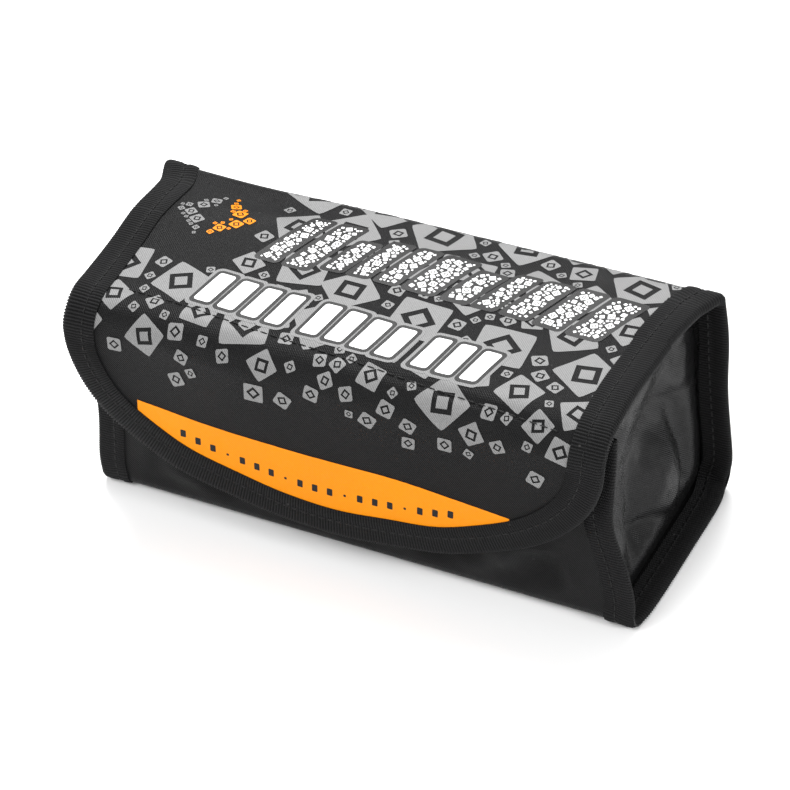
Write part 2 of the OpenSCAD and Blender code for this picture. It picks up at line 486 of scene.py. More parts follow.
@dataclass
class Strip:
    """The long strip of cloth, as a surface.

    Across it runs from -half_width to half_width. Along it, 0 is the back's top edge, lower
    values go over the lid and down the flap, and higher ones down the back to the front's top.
    """

    fold_radius: float = 11 * MM
    hinge_radius: float = 4 * MM
    base_radius: float = 5 * MM
    tape: float = 0.6 * MM
    front_lean: float = 3 * MM
    lid_arch: float = 1.2 * MM
    lid_ease: float = 20 * MM
    spare: float = 8 * MM
    stitch_reach: float = 74 * MM
    channel_depth: float = 0.5 * MM
    channel_width: float = 1.6 * MM
    flap_lift: float = 0.3 * MM
    dents: tuple[Dent, ...] = (Dent(-60 * MM, -9 * MM, 26 * MM, 9 * MM, -2.2 * MM),
                               Dent(-70 * MM, -34 * MM, 30 * MM, 10 * MM, 1.0 * MM))

    def __post_init__(self) -> None:
        """Takes the strip's outline from the frame."""
        flap_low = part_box("flap_cloth")[0]
        lid_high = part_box("lid_cloth")[1]
        front_low, front_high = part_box("front_cloth")
        back_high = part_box("back_cloth")[1]
        self.half_width = front_high.x
        self.panel_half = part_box("bottom_padding")[1].x
        self.flap_y, self.front_y, self.back_y = flap_low.y, front_low.y, back_high.y
        self.top = lid_high.z
        self.thickness = self.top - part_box("lid_liner")[0].z
        base_z = self.tape
        self.path = RoundedPath(
            [(self.flap_y, flap_low.z - self.spare), (self.flap_y, self.top), (self.back_y, self.top),
             (self.back_y, base_z), (self.front_y, base_z), (self.front_y, front_high.z + self.spare)],
            [self.fold_radius, self.hinge_radius, self.base_radius, self.base_radius])
        self.zero = self.path.nearest((self.back_y, self.top))
        self.tip = self.on_flap(flap_low.z)
        self.mouth = self.on_front(front_high.z)
        self.lid_front = self.place_of((self.flap_y + self.fold_radius, self.top))
        self.flap_top = self.place_of((self.flap_y, self.top - self.fold_radius))
        self.back_base = self.place_of((self.back_y - self.base_radius, base_z))
        self.front_base = self.place_of((self.front_y + self.base_radius, base_z))
        self.right, self.left = self._edges()
        self.ripples = Ripples(seed=3, height=0.42 * MM, shortest=20 * MM, longest=60 * MM)
        self.panels: list[Panel] = []
        self.stitch_line = ((-self.stitch_reach, self.lid_front + 2 * MM),
                            (self.stitch_reach, self.lid_front - 8 * MM))

    def add_walls(self) -> None:
        """Gives the back and the front wall the slack that their folds come from."""
        self.panels.append(Panel(
            "back_wall", (-80 * MM, self.on_back(62 * MM)), (80 * MM, self.on_back(8 * MM)),
            excess=0.004, start=Ripples(5, height=0.6 * MM).at, cell=3 * MM))
        low = Ripples(6, height=1.2 * MM, shortest=16 * MM, longest=34 * MM)
        self.panels.append(Panel(
            "front_wall", (-81 * MM, self.on_front(2 * MM)), (81 * MM, self.on_front(34 * MM)),
            excess=0.012, start=low.at, cell=2.4 * MM))

    def place_of(self, point: tuple[float, float]) -> float:
        """Where along the strip it passes nearest to a point of the side view."""
        return self.path.nearest(point) - self.zero

    def on_flap(self, height: float) -> float:
        """Where along the strip the flap hangs at a height."""
        return self.place_of((self.flap_y, height))

    def on_front(self, height: float) -> float:
        """Where along the strip the front wall is at a height."""
        return self.path.along[-1] - self.zero - (self.path.points[-1, 1] - height)

    def on_back(self, height: float) -> float:
        """Where along the strip the back wall is at a height."""
        return self.place_of((self.back_y, height))

    def _edges(self) -> tuple[SoftLine, SoftLine]:
        """The strip's right and left edges, along its length.

        The soft walls lean: the base is longest at the back, and the right end's front folds in.

        Returns:
            The right edge and the left edge.
        """
        base_middle = (self.back_base + self.front_base) / 2
        right = SoftLine([
            (self.lid_front, 80 * MM), (self.lid_front / 2, 82.5 * MM), (0, 89 * MM),
            (self.on_back(44 * MM), 92.5 * MM), (self.on_back(8 * MM), 97.5 * MM),
            (base_middle, 94.5 * MM), (self.front_base, 91 * MM),
            (self.on_front(12 * MM), 88.5 * MM), (self.on_front(26 * MM), 85 * MM),
            (self.on_front(40 * MM), 79.5 * MM), (self.mouth, 79 * MM)])
        left = SoftLine([
            (self.lid_front, -95.5 * MM), (0, -97 * MM), (self.back_base, -94 * MM),
            (self.front_base, -89 * MM), (self.on_front(30 * MM), -87 * MM), (self.mouth, -88 * MM)])
        return right, left

    def relief(self, u: Points, v: Points) -> Points:
        """How far the cloth stands out of its plain section.

        Args:
            u: Places across the strip.
            v: The same places along it.

        Returns:
            The distance at each place.
        """
        on_lid = smooth((v - self.lid_front) / self.lid_ease) * smooth(-v / self.lid_ease)
        arch = self.lid_arch * on_lid * np.cos(np.clip(u / self.half_width, -1, 1) * math.pi / 2)
        dented = sum(dent.at(u, v) for dent in self.dents)
        lean = -self.front_lean * smooth((v - self.on_front(52 * MM)) / (20 * MM))
        cover = smooth(-v / (12 * MM))
        (u0, v0), (u1, v1) = self.stitch_line
        off_line = v - (v0 + (u - u0) * (v1 - v0) / (u1 - u0))
        beside = smooth((self.stitch_reach + 5 * MM - np.abs(u)) / (8 * MM))
        channel = -self.channel_depth * hump(off_line, self.channel_width) * beside
        on_flap = self.flap_lift * smooth((self.lid_front - v) / self.lid_ease)
        total = arch + dented + lean + channel + on_flap + self.ripples.at(u, v) * cover
        for panel in self.panels:
            total = total + panel.at(u, v) * ((v > panel.low[1]) & (v < panel.high[1]))
        return total

    def face(self, u: Points, v: Points) -> Points:
        """The strip's outer face.

        Args:
            u: Places across the strip.
            v: The same places along it.

        Returns:
            The face's points.
        """
        length = v + self.zero
        y, z = self.path.at(length)
        step = 0.3 * MM
        y0, z0 = self.path.at(length - step)
        y1, z1 = self.path.at(length + step)
        ty, tz = y1 - y0, z1 - z0
        size = np.maximum(np.hypot(ty, tz), 1e-12)
        out = self.relief(u, v)
        left, right = self.left.at(v), self.right.at(v)
        x = (left + right) / 2 + u * (right - left) / (2 * self.half_width)
        return np.stack([x, y - tz / size * out, z + ty / size * out], axis=1)


@dataclass
class End:
    """An end panel as a surface, held between the strip's front, base and back.

    Across it runs along the row's Y, and along it up the row's Z. The left panel's Y is turned
    round, so that both panels face outwards.
    """

    strip: Strip
    side: Side
    sag: float = 3.5 * MM
    growth: float = 0.07
    inward: float = 1.5 * MM

    def __post_init__(self) -> None:
        """Reads the panel's border from the strip."""
        strip, sign = self.strip, self.side.value
        self.front_y, self.back_y = strip.front_y, strip.back_y
        self.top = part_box("left_end_cloth")[1].z - 1 * MM
        self.base = strip.tape
        self.heights = np.linspace(0, strip.top, 80)
        self.depths = np.linspace(self.front_y, self.back_y, 60)
        inner = np.full(80, sign * strip.panel_half)
        on_front = np.array([strip.on_front(z) for z in self.heights])
        on_back = np.array([strip.on_back(z) for z in self.heights])
        on_base = strip.front_base + (strip.back_base - strip.front_base) * (
            (self.depths - self.front_y) / (self.back_y - self.front_y))
        self.front_x, self.front_line = strip.face(inner, on_front)[:, :2].T
        self.back_x, self.back_line = strip.face(inner, on_back)[:, :2].T
        self.base_x = strip.face(inner[:60], on_base)[:, 0]
        self.corner = strip.base_radius
        waves = Ripples(seed=11 if self.side is Side.RIGHT else 23, height=2.2 * MM,
                        shortest=22 * MM, longest=48 * MM, count=5)
        reach = sorted((sign * self.front_y, sign * self.back_y))
        self.panel = Panel(
            f"{self.side.name.lower()}_end", (reach[0], self.base), (reach[1], self.top),
            excess=self.growth, start=lambda a, b: waves.at(a, b) - self.inward, bending=0.15)

    def face(self, a: Points, b: Points) -> Points:
        """The end panel's outer face.

        Args:
            a: Places across the panel.
            b: The same places' heights.

        Returns:
            The face's points.
        """
        y = a * self.side.value
        p = (y - self.front_y) / (self.back_y - self.front_y)
        q = np.clip((b - self.base) / (self.top - self.base), 0, 1)
        front, back = np.interp(b, self.heights, self.front_x), np.interp(b, self.heights, self.back_x)
        base = np.interp(y, self.depths, self.base_x)
        x = front * (1 - p) + back * p + (base - self.front_x[0] * (1 - p) - self.back_x[0] * p) * (1 - q)
        inside = np.clip(4 * p * (1 - p), 0, 1)
        out = self.panel.at(a, b) - self.sag * inside * q ** 1.5
        front_y = np.interp(b, self.heights, self.front_line)
        back_y = np.interp(b, self.heights, self.back_line)
        middle, half = (front_y + back_y) / 2, (back_y - front_y) / 2
        across = (2 * p - 1) * half
        beyond = np.maximum(np.abs(across) - (half - self.corner), 0)
        under = np.maximum(self.base + self.corner - b, 0)
        shrink = np.maximum(beyond, under) / np.maximum(np.hypot(beyond, under), 1e-9)
        in_corner = (beyond > 0) & (under > 0)
        across = np.where(in_corner, np.sign(across) * (half - self.corner + beyond * shrink), across)
        z = np.where(in_corner, self.base + self.corner - under * shrink, b)
        return np.stack([x + self.side.value * out, middle + across, z], axis=1)


# ---------------------------------------------------------------- finishes


class Graph:
    """A node tree that is built with short calls."""

    def __init__(self, tree: bpy.types.NodeTree) -> None:
        """Holds the tree."""
        self.tree = tree

    def add(self, kind: str, inputs: dict[str | int, object] | None = None,
            **settings: object) -> bpy.types.Node:
        """Adds a node.

        Args:
            kind: The node's type, without its ShaderNode prefix.
            inputs: A value or an output socket for each input, by name or number.
            settings: The node's own properties.

        Returns:
            The node.
        """
        node = self.tree.nodes.new("ShaderNode" + kind)
        for key, value in settings.items():
            setattr(node, key, value)
        for key, value in (inputs or {}).items():
            if isinstance(value, bpy.types.NodeSocket):
                self.tree.links.new(value, node.inputs[key])
            else:
                node.inputs[key].default_value = value
        return node

    def math(self, operation: str, first: object, second: object = 0.0) -> bpy.types.NodeSocket:
        """The result of a sum on one or two values."""
        return self.add("Math", {0: first, 1: second}, operation=operation).outputs[0]

    def wave(self, place: bpy.types.NodeSocket, period: object) -> bpy.types.NodeSocket:
        """A sine of a place, from -1 to 1."""
        turns = self.math("DIVIDE", place, period)
        return self.math("SINE", self.math("MULTIPLY", turns, 2 * math.pi))

    def noise(self, vector: bpy.types.NodeSocket, scale: object,
              detail: float = 3.0) -> bpy.types.NodeSocket:
        """Noise about 0.5 at a scale in waves per metre."""
        node = self.add("TexNoise", {"Vector": vector, "Scale": scale, "Detail": detail})
        return node.outputs["Fac"]

    def mix(self, share: bpy.types.NodeSocket, first: object, second: object) -> bpy.types.NodeSocket:
        """The first colour where the share is 0, and the second where it is 1."""
        return self.add("Mix", {0: share, 6: first, 7: second}, data_type="RGBA").outputs[2]

    def ramp(self, value: object, low: float, high: float) -> bpy.types.NodeSocket:
        """Rises smoothly from 0 to 1 as a value rises.

        Args:
            value: The value.
            low: Where the result starts to rise.
            high: Where it gets to 1.

        Returns:
            The result.
        """
        node = self.add("MapRange", {"Value": value, "From Min": low, "From Max": high},
                        interpolation_type="SMOOTHSTEP")
        return node.outputs["Result"]


def shader_group(name: str, inputs: Sequence[str], outputs: Sequence[str],
                 build: Callable[[Graph, Sockets], Sockets]) -> bpy.types.NodeTree:
    """Makes a node group, or finds it if it has been made.

    Args:
        name: The group's name.
        inputs: Its inputs. Vector is a vector, and the others are values.
        outputs: Its outputs, all of them values.
        build: Fills the group. It is given the graph and the input sockets, and gives back the
            socket for each output.

    Returns:
        The group.
    """
    if name in bpy.data.node_groups:
        return bpy.data.node_groups[name]
    tree = bpy.data.node_groups.new(name, "ShaderNodeTree")
    for key in inputs:
        kind = "NodeSocketVector" if key == "Vector" else "NodeSocketFloat"
        tree.interface.new_socket(key, in_out="INPUT", socket_type=kind)
    for key in outputs:
        tree.interface.new_socket(key, in_out="OUTPUT", socket_type="NodeSocketFloat")
    entry, leave = tree.nodes.new("NodeGroupInput"), tree.nodes.new("NodeGroupOutput")
    for key, socket in build(Graph(tree), {k: entry.outputs[k] for k in inputs}).items():
        tree.links.new(socket, leave.inputs[key])
    return tree


def build_twill(graph: Graph, given: Sockets) -> Sockets:
    """Fine diagonal ribs, each broken into short floats.

    Args:
        graph: The node group's graph.
        given: The group's input sockets by name.

    Returns:
        The sockets for the height and the shade.
    """
    axes = graph.add("SeparateXYZ", {0: given["Vector"]}).outputs
    pitch = given["Pitch"]
    rib = graph.wave(graph.math("ADD", axes[0], axes[1]), graph.math("MULTIPLY", pitch, 1.414))
    floats = graph.wave(graph.math("SUBTRACT", axes[0], graph.math("MULTIPLY", axes[1], 0.35)),
                        graph.math("MULTIPLY", pitch, 0.9))
    uneven = graph.noise(given["Vector"], 900.0, 2.0)
    mixed = graph.math("ADD", graph.math("MULTIPLY", rib, 0.6), graph.math("MULTIPLY", floats, 0.25))
    height = graph.math("ADD", mixed, graph.math("MULTIPLY", graph.math("SUBTRACT", uneven, 0.5), 0.9))
    return {"Height": height, "Shade": graph.ramp(height, -0.8, 0.8)}


def build_plain(graph: Graph, given: Sockets) -> Sockets:
    """Warp and weft that cross over and under in turn.

    Args:
        graph: The node group's graph.
        given: The group's input sockets by name.

    Returns:
        The sockets for the height and the shade.
    """
    axes = graph.add("SeparateXYZ", {0: given["Vector"]}).outputs
    both = graph.math("MULTIPLY", graph.wave(axes[0], given["Pitch"]), graph.wave(axes[1], given["Pitch"]))
    uneven = graph.noise(given["Vector"], 700.0, 2.0)
    height = graph.math("ADD", both, graph.math("SUBTRACT", uneven, 0.5))
    return {"Height": height, "Shade": graph.ramp(height, -0.9, 0.9)}


def build_ribbed(graph: Graph, given: Sockets) -> Sockets:
    """The fine lengthwise yarns that break a ribbed tape's cross ribs, which are modelled, and painted shade
    in the grooves between those ribs.

    Args:
        graph: The node group's graph.
        given: The group's input sockets by name.

    Returns:
        The sockets for the height and the shade, which holds the painted groove shade.
    """
    axes = graph.add("SeparateXYZ", {0: given["Vector"]}).outputs
    step = graph.math("FLOOR", graph.math("DIVIDE", axes[0], given["Pitch"]))
    shift = graph.math("MULTIPLY", given["Pitch"], 0.27)
    shifted = graph.math("ADD", axes[1], graph.math("MULTIPLY", step, shift))
    yarn = graph.wave(shifted, graph.math("MULTIPLY", given["Pitch"], 0.55))
    uneven = graph.noise(given["Vector"], 1500.0, 2.0)
    height = graph.math("ADD", graph.math("MULTIPLY", yarn, 0.6), graph.math("SUBTRACT", uneven, 0.5))
    # Painted shade: a sine at the ribs' pitch darkens the colour in the grooves between the modelled ribs
    # and lightens their tops.
    rib = graph.math("MULTIPLY", graph.wave(axes[0], given["Pitch"]), 1.6)
    return {"Height": height, "Shade": graph.ramp(graph.math("ADD", height, rib), -1.6, 1.8)}


def build_felted(graph: Graph, given: Sockets) -> Sockets:
    """Tangled fibres with no direction.

    Args:
        graph: The node group's graph.
        given: The group's input sockets by name.

    Returns:
        The sockets for the height and the shade.
    """
    fine = graph.noise(given["Vector"], graph.math("DIVIDE", 0.6, given["Pitch"]), 4.0)
    broad = graph.noise(given["Vector"], graph.math("DIVIDE", 0.12, given["Pitch"]), 2.0)
    height = graph.math("ADD", graph.math("SUBTRACT", fine, 0.5), graph.math("SUBTRACT", broad, 0.5))
    return {"Height": graph.math("MULTIPLY", height, 2.0), "Shade": graph.ramp(height, -0.3, 0.3)}


def build_wear(graph: Graph, given: Sockets) -> Sockets:
    """Broad changes of tone, small creases, and sparse pale specks of lint.

    Args:
        graph: The node group's graph.
        given: The group's input sockets by name.

    Returns:
        The sockets for the tone, the creases and the lint.
    """
    tone = graph.noise(given["Vector"], 28.0, 4.0)
    folded = graph.math("ABSOLUTE", graph.math("SUBTRACT", graph.noise(given["Vector"], 60.0, 2.0), 0.5))
    soft = graph.noise(given["Vector"], 95.0, 2.0)
    crumple = graph.math("ADD", graph.math("MULTIPLY", folded, 1.6), graph.math("MULTIPLY", soft, 0.6))
    cells = graph.add("TexVoronoi", {"Vector": given["Vector"], "Scale": 220.0})
    speck = graph.math("SUBTRACT", 1.0, graph.ramp(cells.outputs["Distance"], 0.05, 0.1))
    rare = graph.ramp(graph.noise(given["Vector"], 140.0, 1.0), 0.6, 0.66)
    return {"Tone": tone, "Crumple": crumple, "Lint": graph.math("MULTIPLY", speck, rare)}


WEAVES = {Weave.TWILL: build_twill, Weave.PLAIN: build_plain,
          Weave.RIBBED: build_ribbed, Weave.FELTED: build_felted}


@dataclass(frozen=True)
class Finish:
    """A material: its colours, its weave, and how worn and how glossy it is."""

    name: str
    slot: str
    dark: tuple[float, float, float]
    light: tuple[float, float, float]
    weave: Weave = Weave.TWILL
    pitch: float = 0.55 * MM
    relief: float = 0.05 * MM
    crumple: float = 0.25 * MM
    rough: float = 0.5
    patchy: float = 0.15
    sheen: float = 0.0
    specular: float = 0.5
    metallic: float = 0.0
    lint: float = 0.0

    def material(self) -> bpy.types.Material:
        """Makes the material, or finds it if it has been made.

        Returns:
            The material.
        """
        found = bpy.data.materials.get(self.name)
        if found:
            return found
        material = bpy.data.materials.new(self.name)
        material.use_nodes = True
        material.node_tree.nodes.clear()
        graph = Graph(material.node_tree)
        cut = graph.add("UVMap", uv_map=CUT_MAP).outputs["UV"]
        place = graph.add("TexCoord").outputs["Object"]
        woven = graph.add("Group", node_tree=shader_group(
            f"{self.weave.value}_weave", ("Vector", "Pitch"), ("Height", "Shade"), WEAVES[self.weave]),
            inputs={"Vector": cut, "Pitch": self.pitch}).outputs
        worn = graph.add("Group", node_tree=shader_group(
            "wear", ("Vector",), ("Tone", "Crumple", "Lint"), build_wear), inputs={"Vector": place}).outputs
        # The base colour mixes the weave's shade with the random tone; for the ribbed weave that shade holds
        # painted shade in the grooves between the ribs.
        share = graph.math("ADD", graph.math("MULTIPLY", woven["Shade"], 0.6),
                           graph.math("MULTIPLY", worn["Tone"], 0.4))
        base = graph.mix(share, (*self.dark, 1), (*self.light, 1))
        if self.lint:
            base = graph.mix(graph.math("MULTIPLY", worn["Lint"], self.lint), base, LINT_COLOUR)
        patches = graph.math("MULTIPLY", graph.math("SUBTRACT", worn["Tone"], 0.5), self.patchy * 2)
        rough = graph.math("ADD", patches, self.rough)
        broad = graph.add("Bump", {"Height": worn["Crumple"], "Distance": self.crumple, "Strength": 1.0})
        fine = graph.add("Bump", {"Height": woven["Height"], "Distance": self.relief, "Strength": 1.0,
                                  "Normal": broad.outputs[0]})
        shader = graph.add("BsdfPrincipled", {
            "Base Color": base, "Roughness": rough, "Metallic": self.metallic, "Normal": fine.outputs[0],
            "Specular IOR Level": self.specular, "Sheen Weight": self.sheen, "Sheen Roughness": 0.45})
        output = graph.add("OutputMaterial")
        graph.tree.links.new(shader.outputs[0], output.inputs["Surface"])
        return material


CLOTH = Finish(
    "black_twill", "outer_cloth", (0.001, 0.001, 0.0011), (0.0085, 0.0085, 0.009), rough=0.4,
    pitch=FABRIC_PITCH, relief=0.085 * MM, sheen=0.006, specular=0.12, lint=0.1)
END_CLOTH = Finish(
    "thin_black_twill", "end_cloth", (0.0015, 0.0015, 0.0016), (0.009, 0.009, 0.0095), rough=0.36,
    pitch=FABRIC_PITCH, relief=0.05 * MM, crumple=0.9 * MM, sheen=0.015, specular=0.26, lint=0.12)
FELT = Finish(
    "grey_felt", "felt_padding", (0.1, 0.1, 0.1), (0.22, 0.22, 0.21), weave=Weave.FELTED,
    rough=0.95, sheen=0.3, relief=0.2 * MM)
LINER = Finish(
    "silver_glass_cloth", "fire_liner", (0.2, 0.205, 0.21), (0.5, 0.51, 0.52), weave=Weave.PLAIN,
    pitch=1.1 * MM, relief=0.08 * MM, rough=0.42, metallic=0.35, crumple=0.4 * MM)
# The tape runs from its dark to its light colour with the ribbed weave, so it carries painted shade in the
# grooves between its ribs and lighter rib tops.
TAPE = Finish(
    "black_ribbed_tape", "edge_tape", (0.0003, 0.0003, 0.0003), (0.022, 0.022, 0.0227),
    weave=Weave.RIBBED, pitch=1.0 * MM, relief=0.07 * MM, rough=0.6, sheen=0.012, specular=0.1,
    crumple=0.1 * MM, lint=0.15)
GRIP = Finish(
    "black_hook_and_loop", "hook_and_loop", (0.003, 0.003, 0.003), (0.02, 0.02, 0.021),
    weave=Weave.FELTED, rough=0.8, sheen=0.15, specular=0.25, relief=0.12 * MM)
# The thread's ribbed weave paints shade in dark bands across each stitch.
THREAD = Finish(
    "black_thread", "thread", (0.001, 0.001, 0.001), (0.008, 0.008, 0.008), weave=Weave.RIBBED,
    pitch=0.4 * MM, rough=0.5, sheen=0.05, specular=0.25, crumple=0.0)
GREY_INK = Finish(
    "grey_ink", "grey_ink", (0.13, 0.13, 0.13), (0.25, 0.25, 0.25), rough=0.42,
    pitch=FABRIC_PITCH, relief=0.045 * MM, specular=0.25)
WHITE_INK = Finish(
    "white_ink", "white_ink", (0.8, 0.8, 0.8), (0.92, 0.92, 0.92), rough=0.45,
    pitch=FABRIC_PITCH, relief=0.02 * MM, specular=0.25)
ORANGE_INK = Finish(
    "orange_ink", "orange_ink", (0.68, 0.19, 0.0), (0.86, 0.285, 0.0), rough=0.45,
    pitch=FABRIC_PITCH, relief=0.035 * MM, specular=0.15)
BLACK_INK = Finish(
    "black_ink", "outer_cloth", (0.002, 0.002, 0.002), (0.007, 0.007, 0.007), rough=0.4,
    relief=0.03 * MM, specular=0.2)


# ---------------------------------------------------------------- pieces


class Zone(Enum):
    """The bodies that a stretch of the strip lies on. Only a stretch on a single body is made to move with
    it.
    """

    BODY = ("bag_body",)
    REAR = ("bag_body", "lid")
    FRONT = ("lid", "flap")
    FLAP = ("flap",)


@dataclass
class Workshop:
    """Turns draped meshes into finished pieces that ride on the frame."""

    strip: Strip

    def add(self, name: str, bm: bmesh.types.BMesh, finish: Finish, zone: Zone, thick: float = 0.0,
            replaces: Sequence[str] = ()) -> bpy.types.Object:
        """Makes a piece from a mesh in the row frame.

        Args:
            name: The piece's name.
            bm: Its mesh, which is freed.
            finish: Its finish.
            zone: What it moves with.
            thick: How thick it is made, inwards from the mesh.
            replaces: The CAD nodes that it stands for.

        Returns:
            The piece.
        """
        for face in bm.faces:
            face.smooth = True
        for edge in bm.edges:
            edge.smooth = not edge.is_boundary
        obj = link_mesh(name, bm)
        obj.data.materials.append(finish.material())
        self.attach(obj, zone)
        if thick:
            solid = obj.modifiers.new("Thickness", "SOLIDIFY")
            solid.thickness = thick
            solid.offset = -1.0
        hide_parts(*replaces)
        LOG.info("%s: %d faces, rides %s", name, len(obj.data.polygons), " to ".join(zone.value))
        return obj

    def attach(self, obj: bpy.types.Object, zone: Zone) -> None:
        """Makes a piece move with its body; a piece that spans two bodies only has its transform baked.

        Args:
            obj: The piece.
            zone: What it moves with.
        """
        if zone is Zone.REAR:
            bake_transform(obj)
        elif zone is Zone.FRONT:
            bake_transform(obj)
        else:
            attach(obj, zone.value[0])


def lay(bm: bmesh.types.BMesh, surface: Surface, height: Callable[[], float]) -> bmesh.types.BMesh:
    """Lays a flat cut on a surface.

    Args:
        bm: The flat cut.
        surface: The surface.
        height: Gives each point's height above it.

    Returns:
        The same mesh, draped.
    """
    keep_cut(bm)
    for vertex in bm.verts:
        vertex.co.z = height()
    drape(bm, surface)
    return bm


@dataclass(frozen=True)
class Layer:
    """One layer of the padded cloth."""

    name: str
    depth: float
    thick: float
    finish: Finish
    inset: float
    step: float


LAYERS = (
    Layer("cloth", 0.0, 0.6 * MM, CLOTH, 0.0, 1.6 * MM),
    Layer("padding", 0.6 * MM, 1.5 * MM, FELT, 0.8 * MM, 3.0 * MM),
    Layer("liner", 2.1 * MM, 0.4 * MM, LINER, 1.2 * MM, 2.6 * MM),
)


@dataclass
class Outline:
    """The shape that the cover is cut to: straight sides, and a rounded flap."""

    strip: Strip
    half: float = 90 * MM
    straight_to: float = 62.5 * MM

    def __post_init__(self) -> None:
        """Places the flap's rounding on the strip."""
        self.shoulder = self.strip.on_flap(self.straight_to)
        self.rise = self.shoulder - self.strip.tip

    def reach(self, v: Points) -> Points:
        """The cover's half width where its sides are straight."""
        full = self.strip.half_width
        return self.half + (full - self.half) * smooth((v + 12 * MM) / (12 * MM))

    def edge(self, from_v: float, inset: float = 0.0, count: int = 500) -> Points:
        """The cut's edge from one side, round the flap, to the other side.

        Args:
            from_v: Where it starts and ends along the strip.
            inset: How far inside the cut's own edge it runs.
            count: How many points the rounding has.

        Returns:
            The edge's points, evenly spaced.
        """
        turns = np.linspace(math.pi, 2 * math.pi, count)
        half, rise = self.half - inset, self.rise - inset
        curve = np.stack([half * np.cos(turns), self.shoulder + rise * np.sin(turns)], axis=1)
        return even(np.concatenate([[[-half, from_v]], curve, [[half, from_v]]]))

    def low_edge(self, u: Points, inset: float) -> Points:
        """Where along the strip the rounding runs, a little inside the cut."""
        share = np.clip(u / (self.half - inset), -1, 1)
        return self.shoulder - (self.rise - inset) * np.sqrt(1 - share ** 2)

    def holds(self, u: float, v: float, inset: float) -> bool:
        """Whether a place is inside the cut.

        Args:
            u: The place across the strip.
            v: The place along it.
            inset: How far inside the cut's edge it has to be.

        Returns:
            True if it is inside.
        """
        half, rise = self.half - inset, self.rise - inset
        if v >= self.shoulder:
            return abs(u) < half
        return (u / half) ** 2 + ((v - self.shoulder) / rise) ** 2 < 1


@dataclass
class Cloths:
    """The padded strip: its three layers over the lid and flap, the back, the base and the front."""

    shop: Workshop
    outline: Outline
    seam: float = -30 * MM
    wrap_from: float = 10 * MM
    unpadded: float = 8.5 * MM
    overlap: float = 0.05 * MM
    margin: float = 0.8 * MM

    def build(self) -> None:
        """Builds every layer of every stretch."""
        for layer in LAYERS:
            self._front(layer)
            self._rear(layer)
            self._wrap(layer)

    def _front(self, layer: Layer) -> None:
        """The lid's front and the flap, down to its rounded tip.

        Args:
            layer: The layer.
        """
        line, rise = self.outline, self.outline.rise - layer.inset
        straight = self.seam - line.shoulder
        bm = flat_grid((-1, -rise), (1, straight), (layer.step / line.half, layer.step))
        half = line.half - layer.inset
        for vertex in bm.verts:
            s, y, _ = vertex.co
            t = min(0.0, y) / rise
            vertex.co = Vector((half * s * math.sqrt(1 - t * t / 2),
                                line.shoulder + (rise * t * math.sqrt(1 - s * s / 2) if y < 0 else y), 0))
        cut_rows(bm, self.shop.strip.flap_top - 4 * MM, self.shop.strip.lid_front + 5 * MM, 0.9 * MM)
        self._lay(f"front_cover_{layer.name}", bm, layer, Zone.FRONT, [f"flap_{layer.name}"])

    def _rear(self, layer: Layer) -> None:
        """The lid's rear and the back wall.

        Args:
            layer: The layer.
        """
        strip = self.shop.strip
        end = strip.on_back(self.wrap_from)
        step = (layer.step / self.outline.half, layer.step)
        bm = flat_grid((-1, self.seam - self.overlap), (1, end), step)
        cut_rows(bm, -9 * MM, 9 * MM, 0.55 * MM)
        if layer.finish is FELT:
            bent = [face for face in bm.faces if abs(face.calc_center_median().y) < self.unpadded]
            bmesh.ops.delete(bm, geom=bent, context="FACES")
        inner = strip.panel_half - self.margin if layer.depth else strip.half_width
        for vertex in bm.verts:
            s, v, _ = vertex.co
            reach = float(self.outline.reach(v)) - layer.inset
            narrow = float(smooth((v + 8 * MM) / (6 * MM) if layer.depth else v / (5 * MM)))
            vertex.co.x = s * (reach * (1 - narrow) + inner * narrow)
        nodes = [f"lid_{layer.name}", f"back_{layer.name}"]
        self._lay(f"rear_{layer.name}", bm, layer, Zone.REAR, nodes)

    def _wrap(self, layer: Layer) -> None:
        """The base and the front wall.

        Args:
            layer: The layer.
        """
        strip = self.shop.strip
        start = strip.on_back(self.wrap_from) - self.overlap
        inner = strip.panel_half - self.margin if layer.depth else strip.half_width
        high = (inner, strip.mouth - 1.6 * MM - layer.inset)
        bm = flat_grid((-inner, start), high, (layer.step, layer.step))
        nodes = [f"bottom_{layer.name}", f"front_{layer.name}"]
        self._lay(f"wrap_{layer.name}", bm, layer, Zone.BODY, nodes)

    def _lay(self, name: str, bm: bmesh.types.BMesh, layer: Layer, zone: Zone, nodes: list[str]) -> None:
        """Args:
            name: The piece's name.
            bm: Its flat cut.
            layer: The layer.
            zone: What it moves with.
            nodes: The CAD nodes that it stands for.
        """
        lay(bm, self.shop.strip, lambda: -layer.depth)
        obj = self.shop.add(name, bm, layer.finish, zone, layer.thick, nodes)


@dataclass
class EndPanels:
    """The two creased end panels, each of three layers."""

    shop: Workshop
    ends: dict[Side, End]
    outer_inset: float = 0.3 * MM
    inner_inset: float = 2.8 * MM
    top_inset: float = 0.8 * MM
    fineness: float = 0.6

    def build(self) -> None:
        """Builds both ends' layers."""
        for side, end in self.ends.items():
            for layer in LAYERS:
                self._panel(side, end, layer)

    def _panel(self, side: Side, end: End, layer: Layer) -> None:
        """One layer of one end.

        Args:
            side: Which end it is.
            end: The end's surface.
            layer: The layer.
        """
        inset = self.inner_inset if layer.depth else self.outer_inset
        low = (end.panel.low[0] + inset, end.panel.low[1] + inset)
        high = (end.panel.high[0] - inset, end.panel.high[1] - self.top_inset - layer.inset)
        step = layer.step * self.fineness
        bm = lay(flat_grid(low, high, (step, step)), end, lambda: -layer.depth)
        finish = END_CLOTH if layer.finish is CLOTH else layer.finish
        name = f"{side.name.lower()}_end_{layer.name}"
        obj = self.shop.add(f"folded_{name}", bm, finish, Zone.BODY, layer.thick, [name])


# ---------------------------------------------------------------- tapes and stitches


